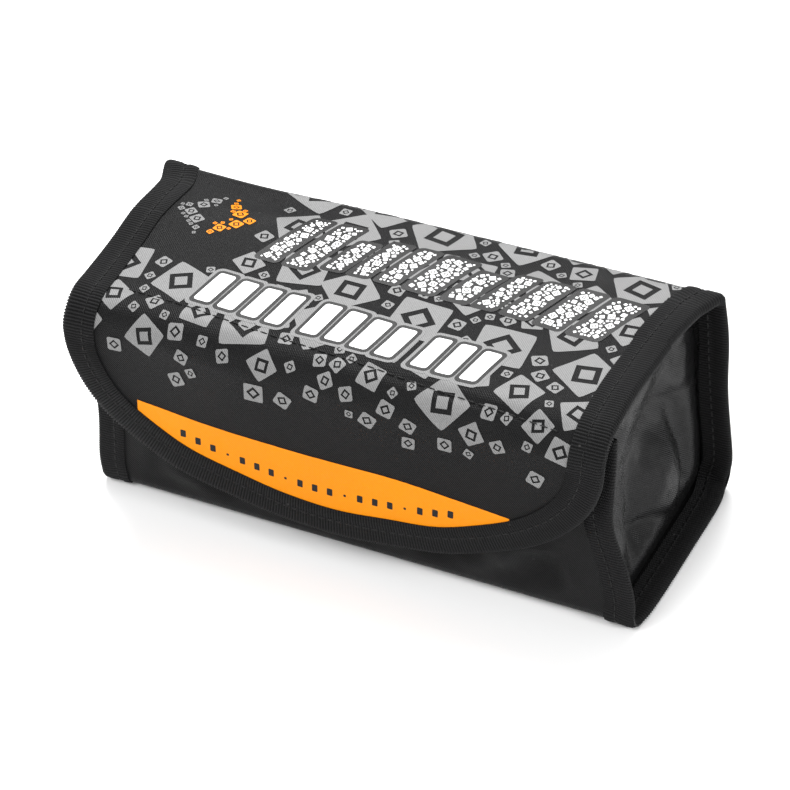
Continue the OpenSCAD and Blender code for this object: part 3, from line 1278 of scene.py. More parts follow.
@dataclass
class Tape:
    """A ribbed tape folded over an edge, with a leg on each side of the cloth."""

    surface: Surface
    edge: Points
    inside: int
    width: float = 10.5 * MM
    above: float = 0.65 * MM
    below: float = 3.2 * MM
    over: float = 0.7 * MM
    pitch: float = 1.0 * MM
    ridge: float = 0.24 * MM
    groove: float = 0.28 * MM
    wobble: float = 0.3 * MM
    seed: int = 1

    def build(self) -> bmesh.types.BMesh:
        """Models the tape flat, folds it over the edge and drapes it.

        Returns:
            The tape's outer face in the row frame.
        """
        along, inward = lengths_along(self.edge), inward_of(self.edge, self.inside)
        radius = (self.above + self.below) / 2 * 0.96
        section = RoundedPath([(self.width, self.above), (-self.over, self.above), (-self.over, -self.below),
                               (self.width - 0.8 * MM, -self.below)], [radius, radius])
        bm = flat_grid((0, 0), (along[-1], section.along[-1]), (self.pitch / 4, 1.0 * MM))
        keep_cut(bm)
        flat = np.array([v.co for v in bm.verts], float)
        s, q = flat[:, 0], flat[:, 1]
        d, w = section.at(q)
        d0, w0 = section.at(q - 0.2 * MM)
        d1, w1 = section.at(q + 0.2 * MM)
        size = np.maximum(np.hypot(d1 - d0, w1 - w0), 1e-9)
        out_d, out_w = (w1 - w0) / size, (d0 - d1) / size
        waves = Ripples(seed=self.seed, height=self.wobble, shortest=14 * MM, longest=50 * MM, count=5)
        sewn = self.width * 0.42
        channel = hump(q - sewn, 0.8 * MM) + hump(section.along[-1] - q - sewn, 0.8 * MM)
        edge_hem = hump(q, 0.7 * MM) * 0.25 * MM
        lift = (self.ridge * np.sin(2 * math.pi * s / self.pitch) * (1 - 0.7 * channel)
                - self.groove * channel - edge_hem)
        d = d + out_d * lift + waves.at(s, q * 0)
        w = w + out_w * lift
        for k, vertex in enumerate(bm.verts):
            u = np.interp(s[k], along, self.edge[:, 0]) + d[k] * np.interp(s[k], along, inward[:, 0])
            v = np.interp(s[k], along, self.edge[:, 1]) + d[k] * np.interp(s[k], along, inward[:, 1])
            vertex.co = Vector((u, v, w[k]))
        if self.inside > 0:
            bmesh.ops.reverse_faces(bm, faces=bm.faces)
        drape(bm, self.surface)
        return bm

    def length(self) -> float:
        """The tape's length."""
        return float(np.linalg.norm(np.diff(self.edge, axis=0), axis=1).sum())

    def seam(self, lower: bool = False) -> "Seam":
        """The row of stitches along the tape's channel.

        Args:
            lower: Whether it is on the lower leg, and not the upper one.

        Returns:
            The row.
        """
        distance = self.width * 0.58 - (0.3 * MM if lower else 0.0)
        height = -self.below - 0.3 * MM if lower else self.above - 0.08 * MM
        return Seam(self.surface, self.edge + distance * inward_of(self.edge, self.inside), height)


def repeat(template: bmesh.types.BMesh, places: Sequence[Matrix]) -> bmesh.types.BMesh:
    """Copies of a small mesh in one mesh.

    Args:
        template: The small mesh, which is freed.
        places: Each copy's place.

    Returns:
        The mesh of copies.
    """
    mesh = bpy.data.meshes.new("template")
    template.to_mesh(mesh)
    template.free()
    bm = bmesh.new()
    for place in places:
        copy = mesh.copy()
        copy.transform(place)
        bm.from_mesh(copy)
        bpy.data.meshes.remove(copy)
    bpy.data.meshes.remove(mesh)
    return bm


@dataclass
class Seam:
    """A row of lockstitches, each a short fat thread that dips into the cloth at its ends."""

    surface: Surface
    line: Points
    height: float = 0.0
    pitch: float = 3.1 * MM
    length: float = 2.4 * MM
    radius: float = 0.24 * MM

    def build(self) -> bmesh.types.BMesh:
        """Models the stitches and drapes them.

        Returns:
            The stitches in the row frame.
        """
        stitch = bmesh.new()
        bmesh.ops.create_uvsphere(stitch, u_segments=6, v_segments=5, radius=1.0)
        bmesh.ops.rotate(stitch, matrix=Matrix.Rotation(math.pi / 2, 3, "Y"), verts=stitch.verts)
        bmesh.ops.scale(stitch, vec=(self.length / 2, self.radius, self.radius), verts=stitch.verts)
        keep_cut(stitch)
        along = lengths_along(self.line)
        places = []
        for place in np.arange(self.pitch / 2, along[-1], self.pitch):
            u, v = (float(np.interp(place, along, self.line[:, k])) for k in (0, 1))
            u1, v1 = (float(np.interp(place + 0.5 * MM, along, self.line[:, k])) for k in (0, 1))
            u0, v0 = (float(np.interp(place - 0.5 * MM, along, self.line[:, k])) for k in (0, 1))
            turn = math.atan2(v1 - v0, u1 - u0)
            places.append(Matrix.Translation((u, v, self.height)) @ Matrix.Rotation(turn, 4, "Z"))
        bm = repeat(stitch, places)
        drape(bm, self.surface)
        return bm


def join(first: bmesh.types.BMesh, second: bmesh.types.BMesh) -> bmesh.types.BMesh:
    """Adds a mesh to another.

    Args:
        first: The mesh that is added to.
        second: The mesh that is added, which is freed.

    Returns:
        The first mesh.
    """
    mesh = bpy.data.meshes.new("joined")
    second.to_mesh(mesh)
    second.free()
    first.from_mesh(mesh)
    bpy.data.meshes.remove(mesh)
    return first


@dataclass
class Bindings:
    """The ribbed tapes over every free edge, and the stitches that hold them."""

    shop: Workshop
    outline: Outline
    ends: dict[Side, End]
    split: float = -30 * MM
    fin_width: float = 9 * MM
    mouth_width: float = 8 * MM

    def build(self) -> None:
        """Builds every tape with its stitches."""
        self._flap_tape()
        for side in Side:
            self._lid_tape(side)
            self._fin(side)
        self._mouth()

    def _bind(self, name: str, tape: Tape, zone: Zone, nodes: Sequence[str], seams: Sequence[str],
              lower: bool = True) -> None:
        """Makes a tape and its stitches.

        Args:
            name: The tape's name.
            tape: The tape.
            zone: What they move with.
            nodes: The CAD nodes that the tape stands for.
            seams: The CAD nodes that its stitches stand for.
            lower: Whether the lower leg's stitches are made too.
        """
        obj = self.shop.add(name, tape.build(), TAPE, zone, 0.45 * MM, nodes)
        tape.length()
        bm = tape.seam().build()
        if lower:
            bm = join(bm, tape.seam(lower=True).build())
        self.shop.add(name + "_thread", bm, THREAD, zone, replaces=seams)

    def _flap_tape(self) -> None:
        """The tape from the lid's left side, round the flap, to its right side."""
        edge = self.outline.edge(self.split)
        tape = Tape(self.shop.strip, edge, inside=1, seed=5)
        self._bind("flap_binding", tape, Zone.FRONT, ["flap_tape"], ["flap_tape_stitches"])

    def _lid_tape(self, side: Side) -> None:
        """The tape on the rear of one of the lid's sides.

        Args:
            side: Which side it is.
        """
        v = np.arange(self.split - 0.1 * MM, 1.5 * MM, 0.5 * MM)
        edge = np.stack([side.value * self.outline.reach(v), v], axis=1)
        name = side.name.lower()
        tape = Tape(self.shop.strip, edge, inside=side.value, seed=7 + side.value, wobble=0.2 * MM)
        seams = ["lid_tape_stitches"] if side is Side.LEFT else []
        self._bind(f"lid_{name}_binding", tape, Zone.REAR, [f"lid_{name}_tape"], seams)

    def _fin(self, side: Side) -> None:
        """The tape over a side's fin, down the back, under the base and up the front.

        Args:
            side: Which side it is.
        """
        strip = self.shop.strip
        v = np.arange(1 * MM, strip.mouth - 1.4 * MM, 0.5 * MM)
        corners = (hump(v - (strip.back_base + strip.on_back(7 * MM)) / 2, 6 * MM)
                   + hump(v - (strip.front_base + strip.on_front(7 * MM)) / 2, 6 * MM))
        edge = np.stack([side.value * (strip.half_width - 1.2 * MM * corners), v], axis=1)
        name = side.name.lower()
        tape = Tape(strip, edge, inside=side.value, width=self.fin_width, above=0.55 * MM, below=1.8 * MM,
                    seed=17 + side.value, wobble=0.45 * MM)
        self._bind(f"{name}_fin_binding", tape, Zone.BODY, [f"{name}_edge_tape"], [f"{name}_edge_stitches"])

    def _mouth(self) -> None:
        """The tapes over the mouth's front and ends."""
        strip = self.shop.strip
        u = np.arange(-82 * MM, 82 * MM, 0.5 * MM)
        front = Tape(strip, np.stack([u, np.full_like(u, strip.mouth - 1.8 * MM)], axis=1), inside=-1,
                     width=self.mouth_width, above=0.5 * MM, below=2.9 * MM, seed=31)
        self._bind("mouth_front_binding", front, Zone.BODY, ["front_mouth_tape"], ["mouth_stitches"])
        for side, end in self.ends.items():
            a = np.arange(end.panel.low[0] + 2.6 * MM, end.panel.high[0] - 1.5 * MM, 0.5 * MM)
            edge = np.stack([a, np.full_like(a, end.top - 1.2 * MM)], axis=1)
            name = side.name.lower()
            tape = Tape(end, edge, inside=-1, width=self.mouth_width, above=0.5 * MM, below=2.9 * MM,
                        seed=41 + side.value)
            self._bind(f"mouth_{name}_binding", tape, Zone.BODY, [f"{name}_mouth_tape"], [])


@dataclass
class FoldSeam:
    """The topstitching across the print, just behind the fold."""

    shop: Workshop

    def build(self) -> None:
        """Builds the row of stitches."""
        strip = self.shop.strip
        line = even(np.array(strip.stitch_line))
        seam = Seam(strip, line, height=0.18 * MM, pitch=3.4 * MM, length=2.7 * MM, radius=0.27 * MM)
        self.shop.add("fold_topstitch", seam.build(), THREAD, Zone.FRONT, replaces=["fold_stitches"])


@dataclass
class Closure:
    """The hook strip inside the flap, and the loop strip on the front wall."""

    shop: Workshop
    hook_length: float = 110 * MM
    loop_length: float = 130 * MM
    height: float = 16 * MM
    spacing: float = 1.6 * MM
    border: float = 1.2 * MM

    def build(self) -> None:
        """Builds both strips with their stitches."""
        self._hooks()
        self._loops()

    def _border(self, length: float, low: float, high: float) -> Points:
        """The line of stitches inside a strip's border."""
        u, low, high = length / 2 - self.border, low + self.border, high - self.border
        return even(np.array([(-u, low), (u, low), (u, high), (-u, high), (-u, low)]))

    def _hooks(self) -> None:
        """The hook strip, with a short stiff pin at each hook's place."""
        strip = self.shop.strip
        middle = strip.on_flap((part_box("hook_strip")[0].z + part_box("hook_strip")[1].z) / 2)
        low, high = middle - self.height / 2, middle + self.height / 2
        bm = flat_grid((-self.hook_length / 2, low), (self.hook_length / 2, high), (2 * MM, 2 * MM))
        lay(bm, strip, lambda: -strip.thickness - 0.05 * MM)
        obj = self.shop.add("hook_backing", bm, GRIP, Zone.FLAP, 0.45 * MM, ["hook_strip"])
        pin = bmesh.new()
        bmesh.ops.create_cone(pin, cap_ends=True, segments=4, radius1=0.2 * MM, radius2=0.3 * MM,
                              depth=0.75 * MM)
        keep_cut(pin)
        depth = -strip.thickness - 0.8 * MM
        columns = np.arange(-self.hook_length / 2 + 2.5 * MM, self.hook_length / 2 - 2 * MM, self.spacing)
        rows = np.arange(low + 2.5 * MM, high - 2 * MM, self.spacing)
        places = [Matrix.Translation((u, v, depth)) for u in columns for v in rows]
        pins = repeat(pin, places)
        drape(pins, strip)
        hooks = self.shop.add("hook_pins", pins, GRIP, Zone.FLAP)
        seam = Seam(strip, self._border(self.hook_length, low, high), height=-strip.thickness - 0.55 * MM)
        thread = self.shop.add("hook_thread", seam.build(), THREAD, Zone.FLAP, replaces=["hook_stitches"])

    def _loops(self) -> None:
        """The loop strip, with an uneven pile."""
        strip = self.shop.strip
        low, high = (strip.on_front(corner.z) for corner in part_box("loop_strip"))
        bm = flat_grid((-self.loop_length / 2, low), (self.loop_length / 2, high), (0.8 * MM, 0.8 * MM))
        draw = random.Random(9)
        lay(bm, strip, lambda: draw.uniform(0.5, 0.95) * MM)
        obj = self.shop.add("loop_pile", bm, GRIP, Zone.BODY, 0.45 * MM, ["loop_strip"])
        seam = Seam(strip, self._border(self.loop_length, low, high), height=0.9 * MM)
        thread = self.shop.add("loop_thread", seam.build(), THREAD, Zone.BODY, replaces=["loop_stitches"])


# ---------------------------------------------------------------- the print


@dataclass(frozen=True)
class Tile:
    """A square on the flat cut."""

    u: float
    v: float
    half: float
    turn: float

    def reach(self, angle: float) -> float:
        """Half the tile's extent in a direction."""
        return self.half * (abs(math.cos(angle - self.turn)) + abs(math.sin(angle - self.turn)))

    def clear_of(self, other: "Tile", gap: float) -> bool:
        """Whether two tiles are apart by more than a gap.

        Args:
            other: The other tile.
            gap: The least distance between them.

        Returns:
            True if they are apart.
        """
        du, dv = self.u - other.u, self.v - other.v
        distance = math.hypot(du, dv)
        if distance > (self.half + other.half) * DIAGONAL + gap:
            return True
        if distance < self.half + other.half + gap:
            return False
        for angle in (self.turn, self.turn + math.pi / 2, other.turn, other.turn + math.pi / 2):
            apart = abs(du * math.cos(angle) + dv * math.sin(angle))
            if apart > self.reach(angle) + other.reach(angle) + gap:
                return True
        return False

    def corners(self) -> list[tuple[float, float]]:
        """The tile's places to test against a border.

        Returns:
            Its four corners and its middle.
        """
        far = self.half * math.sqrt(2)
        turns = [self.turn + math.pi * (0.25 + 0.5 * k) for k in range(4)]
        return [(self.u + far * math.cos(a), self.v + far * math.sin(a)) for a in turns] + [(self.u, self.v)]

    def matrix(self, height: float) -> Matrix:
        """The tile's place on the cut, for a template of half size 1."""
        size = Matrix.Diagonal((self.half, self.half, 1.0, 1.0))
        return Matrix.Translation((self.u, self.v, height)) @ Matrix.Rotation(self.turn, 4, "Z") @ size


@dataclass
class Scatter:
    """Tiles thrown at random on a region, from large to small, that don't touch."""

    seed: int
    gap: float
    tiles: list[Tile] = field(default_factory=list)

    def __post_init__(self) -> None:
        """Seeds the throws."""
        self.draw = random.Random(self.seed)
        self.cells: dict[tuple[int, int], list[Tile]] = {}
        self.cell = 12 * MM

    def _near(self, u: float, v: float) -> list[Tile]:
        """The tiles in the cells around a place.

        Args:
            u: The place across the strip.
            v: The place along it.

        Returns:
            The tiles.
        """
        i, j = int(u // self.cell), int(v // self.cell)
        around = ((i + a, j + b) for a in (-1, 0, 1) for b in (-1, 0, 1))
        return [tile for key in around for tile in self.cells.get(key, ())]

    def place(self, tile: Tile) -> bool:
        """Keeps a tile if it touches no other.

        Args:
            tile: The tile.

        Returns:
            Whether it was kept.
        """
        if not all(tile.clear_of(other, self.gap) for other in self._near(tile.u, tile.v)):
            return False
        self.tiles.append(tile)
        self.cells.setdefault((int(tile.u // self.cell), int(tile.v // self.cell)), []).append(tile)
        return True

    def fill(self, low: tuple[float, float], high: tuple[float, float], size: float, tries: int,
             allowed: Callable[[Tile], bool]) -> None:
        """Throws tiles of about one size.

        Args:
            low: The region's lower corner.
            high: The region's upper corner.
            size: The tiles' side.
            tries: How many tiles are thrown.
            allowed: Whether a tile may lie where it falls.
        """
        for _ in range(tries):
            tile = Tile(self.draw.uniform(low[0], high[0]), self.draw.uniform(low[1], high[1]),
                        size / 2 * self.draw.uniform(0.88, 1.12), self.draw.uniform(0, math.pi / 2))
            if allowed(tile):
                self.place(tile)


def loop_of(bm: bmesh.types.BMesh, count: int, size: float, power: float) -> list[bmesh.types.BMEdge]:
    """A closed loop between a diamond and a square, with more points at a square's corners.

    Args:
        bm: The mesh that it is added to.
        count: How many points it has.
        size: Half its width.
        power: 1 for a diamond, and high for a square.

    Returns:
        The loop's edges.
    """
    made = bmesh.ops.create_circle(bm, segments=count, radius=1.0)["verts"]
    for vertex in made:
        angle = math.atan2(vertex.co.y, vertex.co.x)
        angle += 0.17 * math.sin(4 * angle) if power > 2 else 0.0
        c, s = math.cos(angle), math.sin(angle)
        radius = size / (abs(c) ** power + abs(s) ** power) ** (1 / power)
        vertex.co = Vector((radius * c, radius * s, 0))
    return list({edge for vertex in made for edge in vertex.link_edges})


def tile_template(count: int, ring: bool) -> bmesh.types.BMesh:
    """A printed tile of half size 1: a rounded square, with a bare diamond ring inside it.

    Args:
        count: How many points its border has.
        ring: Whether it has the ring.

    Returns:
        The flat tile.
    """
    bm = bmesh.new()
    outer = loop_of(bm, count, 1.0, 20.0)
    if ring:
        inner = loop_of(bm, count, 0.74, 1.0)
        bmesh.ops.bridge_loops(bm, edges=outer + inner)
        island = loop_of(bm, 8, 0.4, 1.0)
        bmesh.ops.contextual_create(bm, geom=island)
    else:
        bmesh.ops.contextual_create(bm, geom=outer)
    bmesh.ops.recalc_face_normals(bm, faces=bm.faces)
    for face in bm.faces:
        if face.normal.z < 0:
            face.normal_flip()
    return bm


def slab(width: float, height: float, slant: float, corner: float) -> bmesh.types.BMesh:
    """A flat slanted bar with rounded corners.

    Args:
        width: Its width.
        height: Its height.
        slant: How far its top is shifted, as a share of its height.
        corner: How far each corner is cut back.

    Returns:
        The flat bar.
    """
    bm = bmesh.new()
    bmesh.ops.create_grid(bm, x_segments=1, y_segments=1, size=0.5)
    bmesh.ops.scale(bm, vec=(width, height, 1), verts=bm.verts)
    for vertex in bm.verts:
        vertex.co.x += slant * vertex.co.y
    bmesh.ops.bevel(bm, geom=bm.verts[:], offset=corner, segments=4, profile=0.5, affect="VERTICES",
                    material=-1)
    return bm


def lattice(bm: bmesh.types.BMesh, fine_low: float, fine_high: float, coarse: float = 3 * MM,
            fine: float = 1.3 * MM) -> None:
    """Cuts flat faces along a lattice, so that they can follow the cloth.

    Args:
        bm: The flat mesh.
        fine_low: Where along the strip the fine rows start.
        fine_high: Where they end.
        coarse: The lattice's usual step.
        fine: The step between the fine rows.
    """
    places = np.array([v.co for v in bm.verts], float)
    low, high = places.min(axis=0), places.max(axis=0)
    rows = [v for v in np.arange(math.ceil(low[1] / coarse) * coarse, high[1], coarse)
            if not fine_low < v < fine_high]
    rows += [v for v in np.arange(fine_low, fine_high, fine) if low[1] < v < high[1]]
    columns = np.arange(math.ceil(low[0] / coarse) * coarse, high[0], coarse)
    for normal, values in (((0, 1, 0), rows), ((1, 0, 0), columns)):
        for value in values:
            cut_along(bm, value, normal)


@dataclass
class Bar:
    """A slanted bar of the print, on the flat cut."""

    u: float
    v: float
    width: float
    height: float
    slant: float = 0.22

    def plate(self, grow: float, height: float, corner: float = 1.0 * MM) -> bmesh.types.BMesh:
        """A flat plate in the bar's shape.

        Args:
            grow: The border by which it is larger than the bar.
            height: Its height above the cloth.
            corner: How far its corners are cut back, before it grows.

        Returns:
            The plate.
        """
        bm = slab(self.width + 2 * grow, self.height + 2 * grow, self.slant, corner + grow * 0.6)
        bmesh.ops.translate(bm, vec=(self.u, self.v, height), verts=bm.verts)
        return bm

    def holds(self, u: float, v: float) -> bool:
        """Whether a place is inside the bar."""
        across = u - self.u - self.slant * (v - self.v)
        return abs(across) < self.width / 2 and abs(v - self.v) < self.height / 2


@dataclass
class Print:
    """The generic print: scattered tiles, mosaic bars, white bars, a diamond, and an orange band."""

    shop: Workshop
    outline: Outline
    film: float = 0.035 * MM
    lift: float = 0.1 * MM
    seam: float = -45 * MM
    margin: float = 7 * MM
    cut_off: float = 1.2 * MM
    large: float = 2.8 * MM
    tile_gap: float = 0.75 * MM
    tile_throws: tuple[tuple[float, int], ...] = (
        (15.5, 500), (10.5, 1200), (7.2, 2600), (4.6, 6000), (3.0, 10000))
    mosaic_throws: tuple[tuple[float, int], ...] = ((2.3, 90), (1.5, 500), (0.95, 1500), (0.65, 2500))
    emblem_throws: tuple[tuple[float, int], ...] = ((3.6, 1500), (2.2, 5000), (1.3, 9000))
    bar_groups: tuple[tuple[float, float, int], ...] = ((-57, -25.5, 4), (-21.5, 11, 4), (14.5, 38, 3))
    bar_gap: float = 2.4
    bar_height: float = 14 * MM
    mark_count: int = 19
    mark_pitch: float = 5.15

    def build(self) -> None:
        """Builds every part of the print."""
        self._tiles()
        self._mosaic_bars()
        self._white_bars()
        self._emblem()
        self._band()

    def _spot(self, x: float, y: float) -> tuple[float, float]:
        """The place on the cut of a point of the lid.

        Args:
            x: The point's place along the bag.
            y: Its place from front to back.

        Returns:
            The places across and along the strip.
        """
        strip = self.shop.strip
        v = strip.place_of((y, strip.top))
        left, right = float(strip.left.at(v)), float(strip.right.at(v))
        return (x - (left + right) / 2) * 2 * strip.half_width / (right - left), v

    def _ink(self, name: str, bm: bmesh.types.BMesh, finish: Finish, zone: Zone, cut: bool = True) -> None:
        """Drapes a flat part of the print and gives it its thin film.

        Args:
            name: The part's name.
            bm: Its flat mesh.
            finish: Its ink.
            zone: What it moves with.
            cut: Whether it is cut to follow the cloth.
        """
        strip = self.shop.strip
        if cut:
            lattice(bm, strip.flap_top - 2 * MM, strip.lid_front + 3 * MM)
        keep_cut(bm)
        drape(bm, strip)
        self.shop.add(name, bm, finish, zone, self.film)

    def _bare(self, tile: Tile) -> bool:
        """Whether a tile falls on the bare field round the emblem."""
        u, v = self._spot(-68 * MM, 14 * MM)
        return tile.u < u + 16 * MM + tile.half and tile.v > v - 24 * MM - tile.half * 0.5

    def _tiles(self) -> None:
        """The grey tiles, dense on the lid and thinning out down the flap."""
        strip, line = self.shop.strip, self.outline
        scatter = Scatter(seed=21, gap=self.tile_gap)
        draw = random.Random(4)
        thin_from, thin_to = strip.lid_front - 2 * MM, strip.on_flap(50 * MM)

        def allowed(tile: Tile) -> bool:
            """Whether a tile may lie there: always on the lid, and ever less often down the flap.

            Args:
                tile: The tile.

            Returns:
                True if it may.
            """
            if not line.holds(tile.u, tile.v, self.margin) or self._bare(tile):
                return False
            if tile.v > thin_from:
                return True
            drop = (thin_from - tile.v) / (thin_from - thin_to)
            fewer = max(0.0, 1 - drop) ** 2 * (0.3 if tile.half > 3 * MM else 0.2)
            return draw.random() < fewer and tile.half < 6 * MM * (1.25 - drop)

        low, high = (-84 * MM, thin_to), (84 * MM, 3 * MM)
        for u, v, size, turn in ((-85, -15, 15, 0.1), (28, -40.1, 13, 0.9), (-64, -19, 14, 1.2)):
            spot = self._spot(u * MM, v * MM)
            scatter.place(Tile(*spot, size * MM / 2, turn))
        for size, tries in self.tile_throws:
            scatter.fill(low, high, size * MM, tries, allowed)
        LOG.info("%d tiles are scattered", len(scatter.tiles))
        for zone in (Zone.REAR, Zone.FRONT):
            mine = [t for t in scatter.tiles if (t.v > self.seam) == (zone is Zone.REAR)]
            large = [t.matrix(self.lift) for t in mine if t.half > self.large]
            small = [t.matrix(self.lift) for t in mine if t.half <= self.large]
            bm = join(repeat(tile_template(24, True), large), repeat(tile_template(12, True), small))
            cut_along(bm, self.cut_off, (0, 1, 0), clear=True)
            self._ink(f"{zone.name.lower()}_tiles", bm, GREY_INK, zone)

    def _mosaic_bars(self) -> None:
        """Tall slanted bars, each a mosaic of tiny white tiles on a dark ground."""
        bars = []
        draw = random.Random(8)
        x = -44 * MM
        while x < 60 * MM:
            width = draw.choice((6.0, 7.4, 9.2)) * MM
            y0, y1 = (1.0, 26.0) if x < -25 * MM else (3.5, 22.5)
            rise = draw.choice((0.0, 0.0, -3.0)) * MM
            u, v0 = self._spot(x + width / 2, y0 * MM)
            v1 = self._spot(x, y1 * MM + rise)[1]
            bars.append(Bar(u, (v0 + v1) / 2, width, v1 - v0, slant=0.3))
            x += width + 3.0 * MM
        ground = bmesh.new()
        scatter = Scatter(seed=5, gap=0.2 * MM)
        for bar in bars:
            ground = join(ground, bar.plate(1.3 * MM, self.lift + 0.05 * MM))
            low = (bar.u - bar.width, bar.v - bar.height / 2)
            high = (bar.u + bar.width, bar.v + bar.height / 2)
            for size, tries in self.mosaic_throws:
                scatter.fill(low, high, size * MM, tries,
                             lambda tile: all(bar.holds(*spot) for spot in tile.corners()))
        self._ink("bar_ground", ground, BLACK_INK, Zone.REAR)
        big = [t.matrix(self.lift + 0.09 * MM) for t in scatter.tiles if t.half > 0.7 * MM]
        small = [t.matrix(self.lift + 0.09 * MM) for t in scatter.tiles if t.half <= 0.7 * MM]
        bm = join(repeat(tile_template(8, True), big), repeat(tile_template(8, False), small))
        self._ink("bar_mosaic", bm, WHITE_INK, Zone.REAR, cut=False)

    def _white_bars(self) -> None:
        """The row of white bars in three groups, with a dark outline and a grey border."""
        grey, dark, white = bmesh.new(), bmesh.new(), bmesh.new()
        for start, end, count in self.bar_groups:
            pitch = (end - start) / count
            for k in range(count):
                middle = start + pitch * (k + 0.5)
                u, v = self._spot(middle * MM, (-20.5 - 0.045 * middle) * MM)
                bar = Bar(u, v, (pitch - self.bar_gap) * MM, self.bar_height)
                grey = join(grey, bar.plate(2.3 * MM, self.lift + 0.04 * MM))
                dark = join(dark, bar.plate(1.2 * MM, self.lift + 0.08 * MM))
                white = join(white, bar.plate(0.0, self.lift + 0.12 * MM))
        self._ink("name_border", grey, GREY_INK, Zone.FRONT)
        self._ink("name_outline", dark, BLACK_INK, Zone.FRONT)
        self._ink("name_bars", white, WHITE_INK, Zone.FRONT)

    def _emblem(self) -> None:
        """A diamond outline of small tiles, half grey and half orange."""
        u, v = self._spot(-69 * MM, 16 * MM)
        outer, band = 15 * MM, 4.6 * MM
        scatter = Scatter(seed=2, gap=0.25 * MM)

        def allowed(tile: Tile) -> bool:
            """Whether a tile lies in the outline's band, and clear of its middle.

            Args:
                tile: The tile.

            Returns:
                True if it does.
            """
            far = [abs(a - u) + abs(b - v) for a, b in tile.corners()]
            in_band = outer - 2 * band < min(far) and max(far) < outer
            return in_band and abs(tile.u - u) > 1.2 * MM + tile.half

        for size, tries in self.emblem_throws:
            scatter.fill((u - outer, v - outer), (u + outer, v + outer), size * MM, tries, allowed)
        for name, finish, keep in (("emblem_left", GREY_INK, -1), ("emblem_right", ORANGE_INK, 1)):
            mine = [t.matrix(self.lift) for t in scatter.tiles if (t.u - u) * keep > 0]
            self._ink(name, repeat(tile_template(12, True), mine), finish, Zone.REAR, cut=False)

    def _band(self) -> None:
        """The orange band along the flap's rounded edge, with a row of small dark marks."""
        strip, line = self.shop.strip, self.outline
        step = 1.5 * MM
        left, right = -66 * MM, 62 * MM
        bm = flat_grid((left, 0), (right, 1), (step, 0.1))
        for vertex in bm.verts:
            u, share = vertex.co.x, vertex.co.y
            high = strip.on_flap((41.2 - 0.05 * u / MM + 1.2 * math.sin(u / (21 * MM))) * MM)
            low = float(line.low_edge(u, 8.2 * MM))
            vertex.co.y = low + (max(high, low + 0.2 * MM) - low) * share
            vertex.co.z = self.lift
        self._ink("flap_band", bm, ORANGE_INK, Zone.FRONT, cut=False)
        marks = bmesh.new()
        for k in range(self.mark_count):
            u = (-50 + self.mark_pitch * k) * MM
            v = float(line.low_edge(u, 14.8 * MM)) + 2.4 * MM * math.cos(u / (34 * MM))
            width, height = (0.9 * MM, 0.9 * MM) if k % 4 == 3 else (1.9 * MM, 2.7 * MM)
            bar = Bar(u, v, width, height, slant=0.0)
            marks = join(marks, bar.plate(0.0, self.lift + 0.05 * MM, 0.3 * MM))
        self._ink("band_marks", marks, BLACK_INK, Zone.FRONT, cut=False)


# ---------------------------------------------------------------- the studio


@dataclass(frozen=True)
class Lamp:
    """A square area light, with its side in metres and its power in watts."""

    name: str
    place: tuple[float, float, float]
    size: float
    power: float


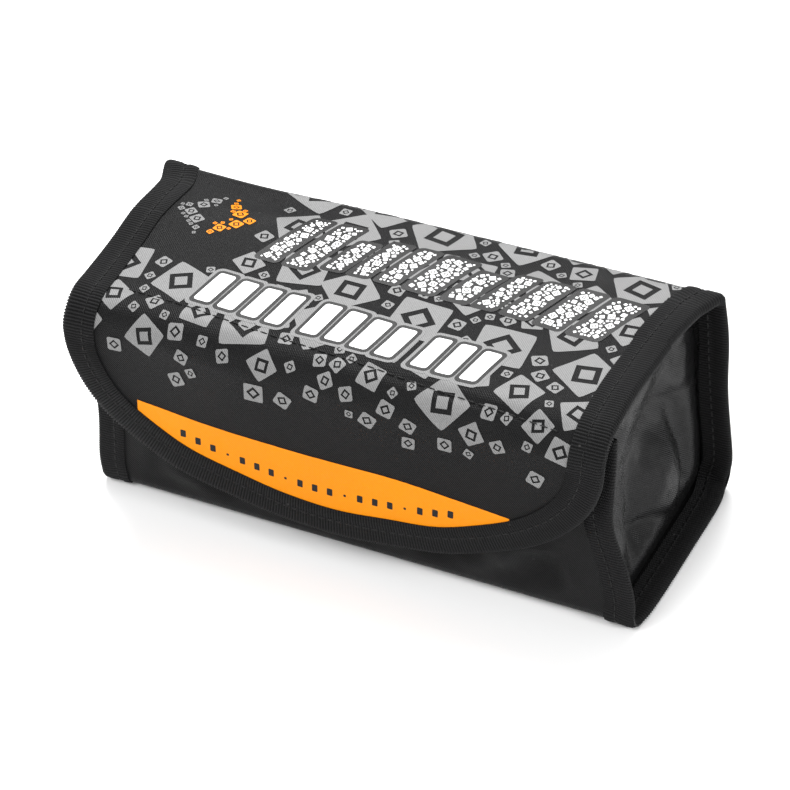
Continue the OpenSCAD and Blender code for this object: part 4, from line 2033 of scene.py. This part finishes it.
@dataclass
class Studio:
    """A pale floor, soft lights and the camera."""

    turn: float = 22.5
    height: float = 40.3
    distance: float = 0.78
    target: tuple[float, float, float] = (-3 * MM, 2.6 * MM, 34.6 * MM)
    focal: float = 113.9
    lamps: tuple[Lamp, ...] = (Lamp("overhead", (-0.35, 0.75, 1.15), 0.9, 28.0),
                               Lamp("front", (-0.5, -0.9, 1.1), 0.7, 14.0),
                               Lamp("side", (1.3, -0.3, 0.9), 0.4, 10.0))

    def build(self) -> None:
        """Builds the studio."""
        self._floor()
        for lamp in self.lamps:
            self._light(lamp)
        self._world()
        self._camera()

    def _floor(self) -> None:
        """A plain pale floor under the bag."""
        bm = bmesh.new()
        bmesh.ops.create_grid(bm, x_segments=1, y_segments=1, size=6.0)
        floor = link_mesh("floor", bm)
        material = bpy.data.materials.new("pale_floor")
        material.use_nodes = True
        shader = material.node_tree.nodes["Principled BSDF"]
        shader.inputs["Base Color"].default_value = (0.97, 0.97, 0.97, 1)
        shader.inputs["Roughness"].default_value = 0.75
        floor.data.materials.append(material)

    def _light(self, lamp: Lamp) -> None:
        """Makes an area light that faces the bag.

        Args:
            lamp: The light.
        """
        data = bpy.data.lights.new(lamp.name, "AREA")
        data.size, data.energy = lamp.size, lamp.power
        light = bpy.data.objects.new(lamp.name, data)
        light.location = lamp.place
        light.rotation_euler = (Vector(self.target) - Vector(lamp.place)).to_track_quat("-Z", "Y").to_euler()
        bpy.context.scene.collection.objects.link(light)

    def _world(self) -> None:
        """An even white surround."""
        world = bpy.data.worlds.new("surround")
        world.use_nodes = True
        background = world.node_tree.nodes["Background"]
        background.inputs["Color"].default_value = (1, 1, 1, 1)
        background.inputs["Strength"].default_value = 0.5
        bpy.context.scene.world = world

    def _camera(self) -> None:
        """The camera, in front of the bag's right end and above it."""
        data = bpy.data.cameras.new("camera")
        data.lens, data.sensor_width = self.focal, 36.0
        turn, height = math.radians(self.turn), math.radians(self.height)
        level = math.cos(height)
        back = Vector((math.sin(turn) * level, -math.cos(turn) * level, math.sin(height)))
        camera = bpy.data.objects.new("camera", data)
        camera.location = Vector(self.target) + back * self.distance
        camera.rotation_euler = back.to_track_quat("Z", "Y").to_euler()
        bpy.context.scene.collection.objects.link(camera)
        bpy.context.scene.camera = camera
        bpy.context.scene.view_settings.view_transform = "Standard"


def main() -> None:
    """Builds the bag's cloth, tapes, stitches, closure and print, and the studio."""
    logging.basicConfig(level=logging.INFO, format="%(name)s: %(message)s")
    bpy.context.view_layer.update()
    strip = Strip()
    strip.add_walls()
    ends = {side: End(strip, side) for side in Side}
    settle([*strip.panels, *(end.panel for end in ends.values())])
    shop = Workshop(strip)
    outline = Outline(strip)
    Cloths(shop, outline).build()
    EndPanels(shop, ends).build()
    Bindings(shop, outline, ends).build()
    FoldSeam(shop).build()
    Closure(shop).build()
    Print(shop, outline).build()
    Studio().build()


if __name__ == "__main__":
    main()
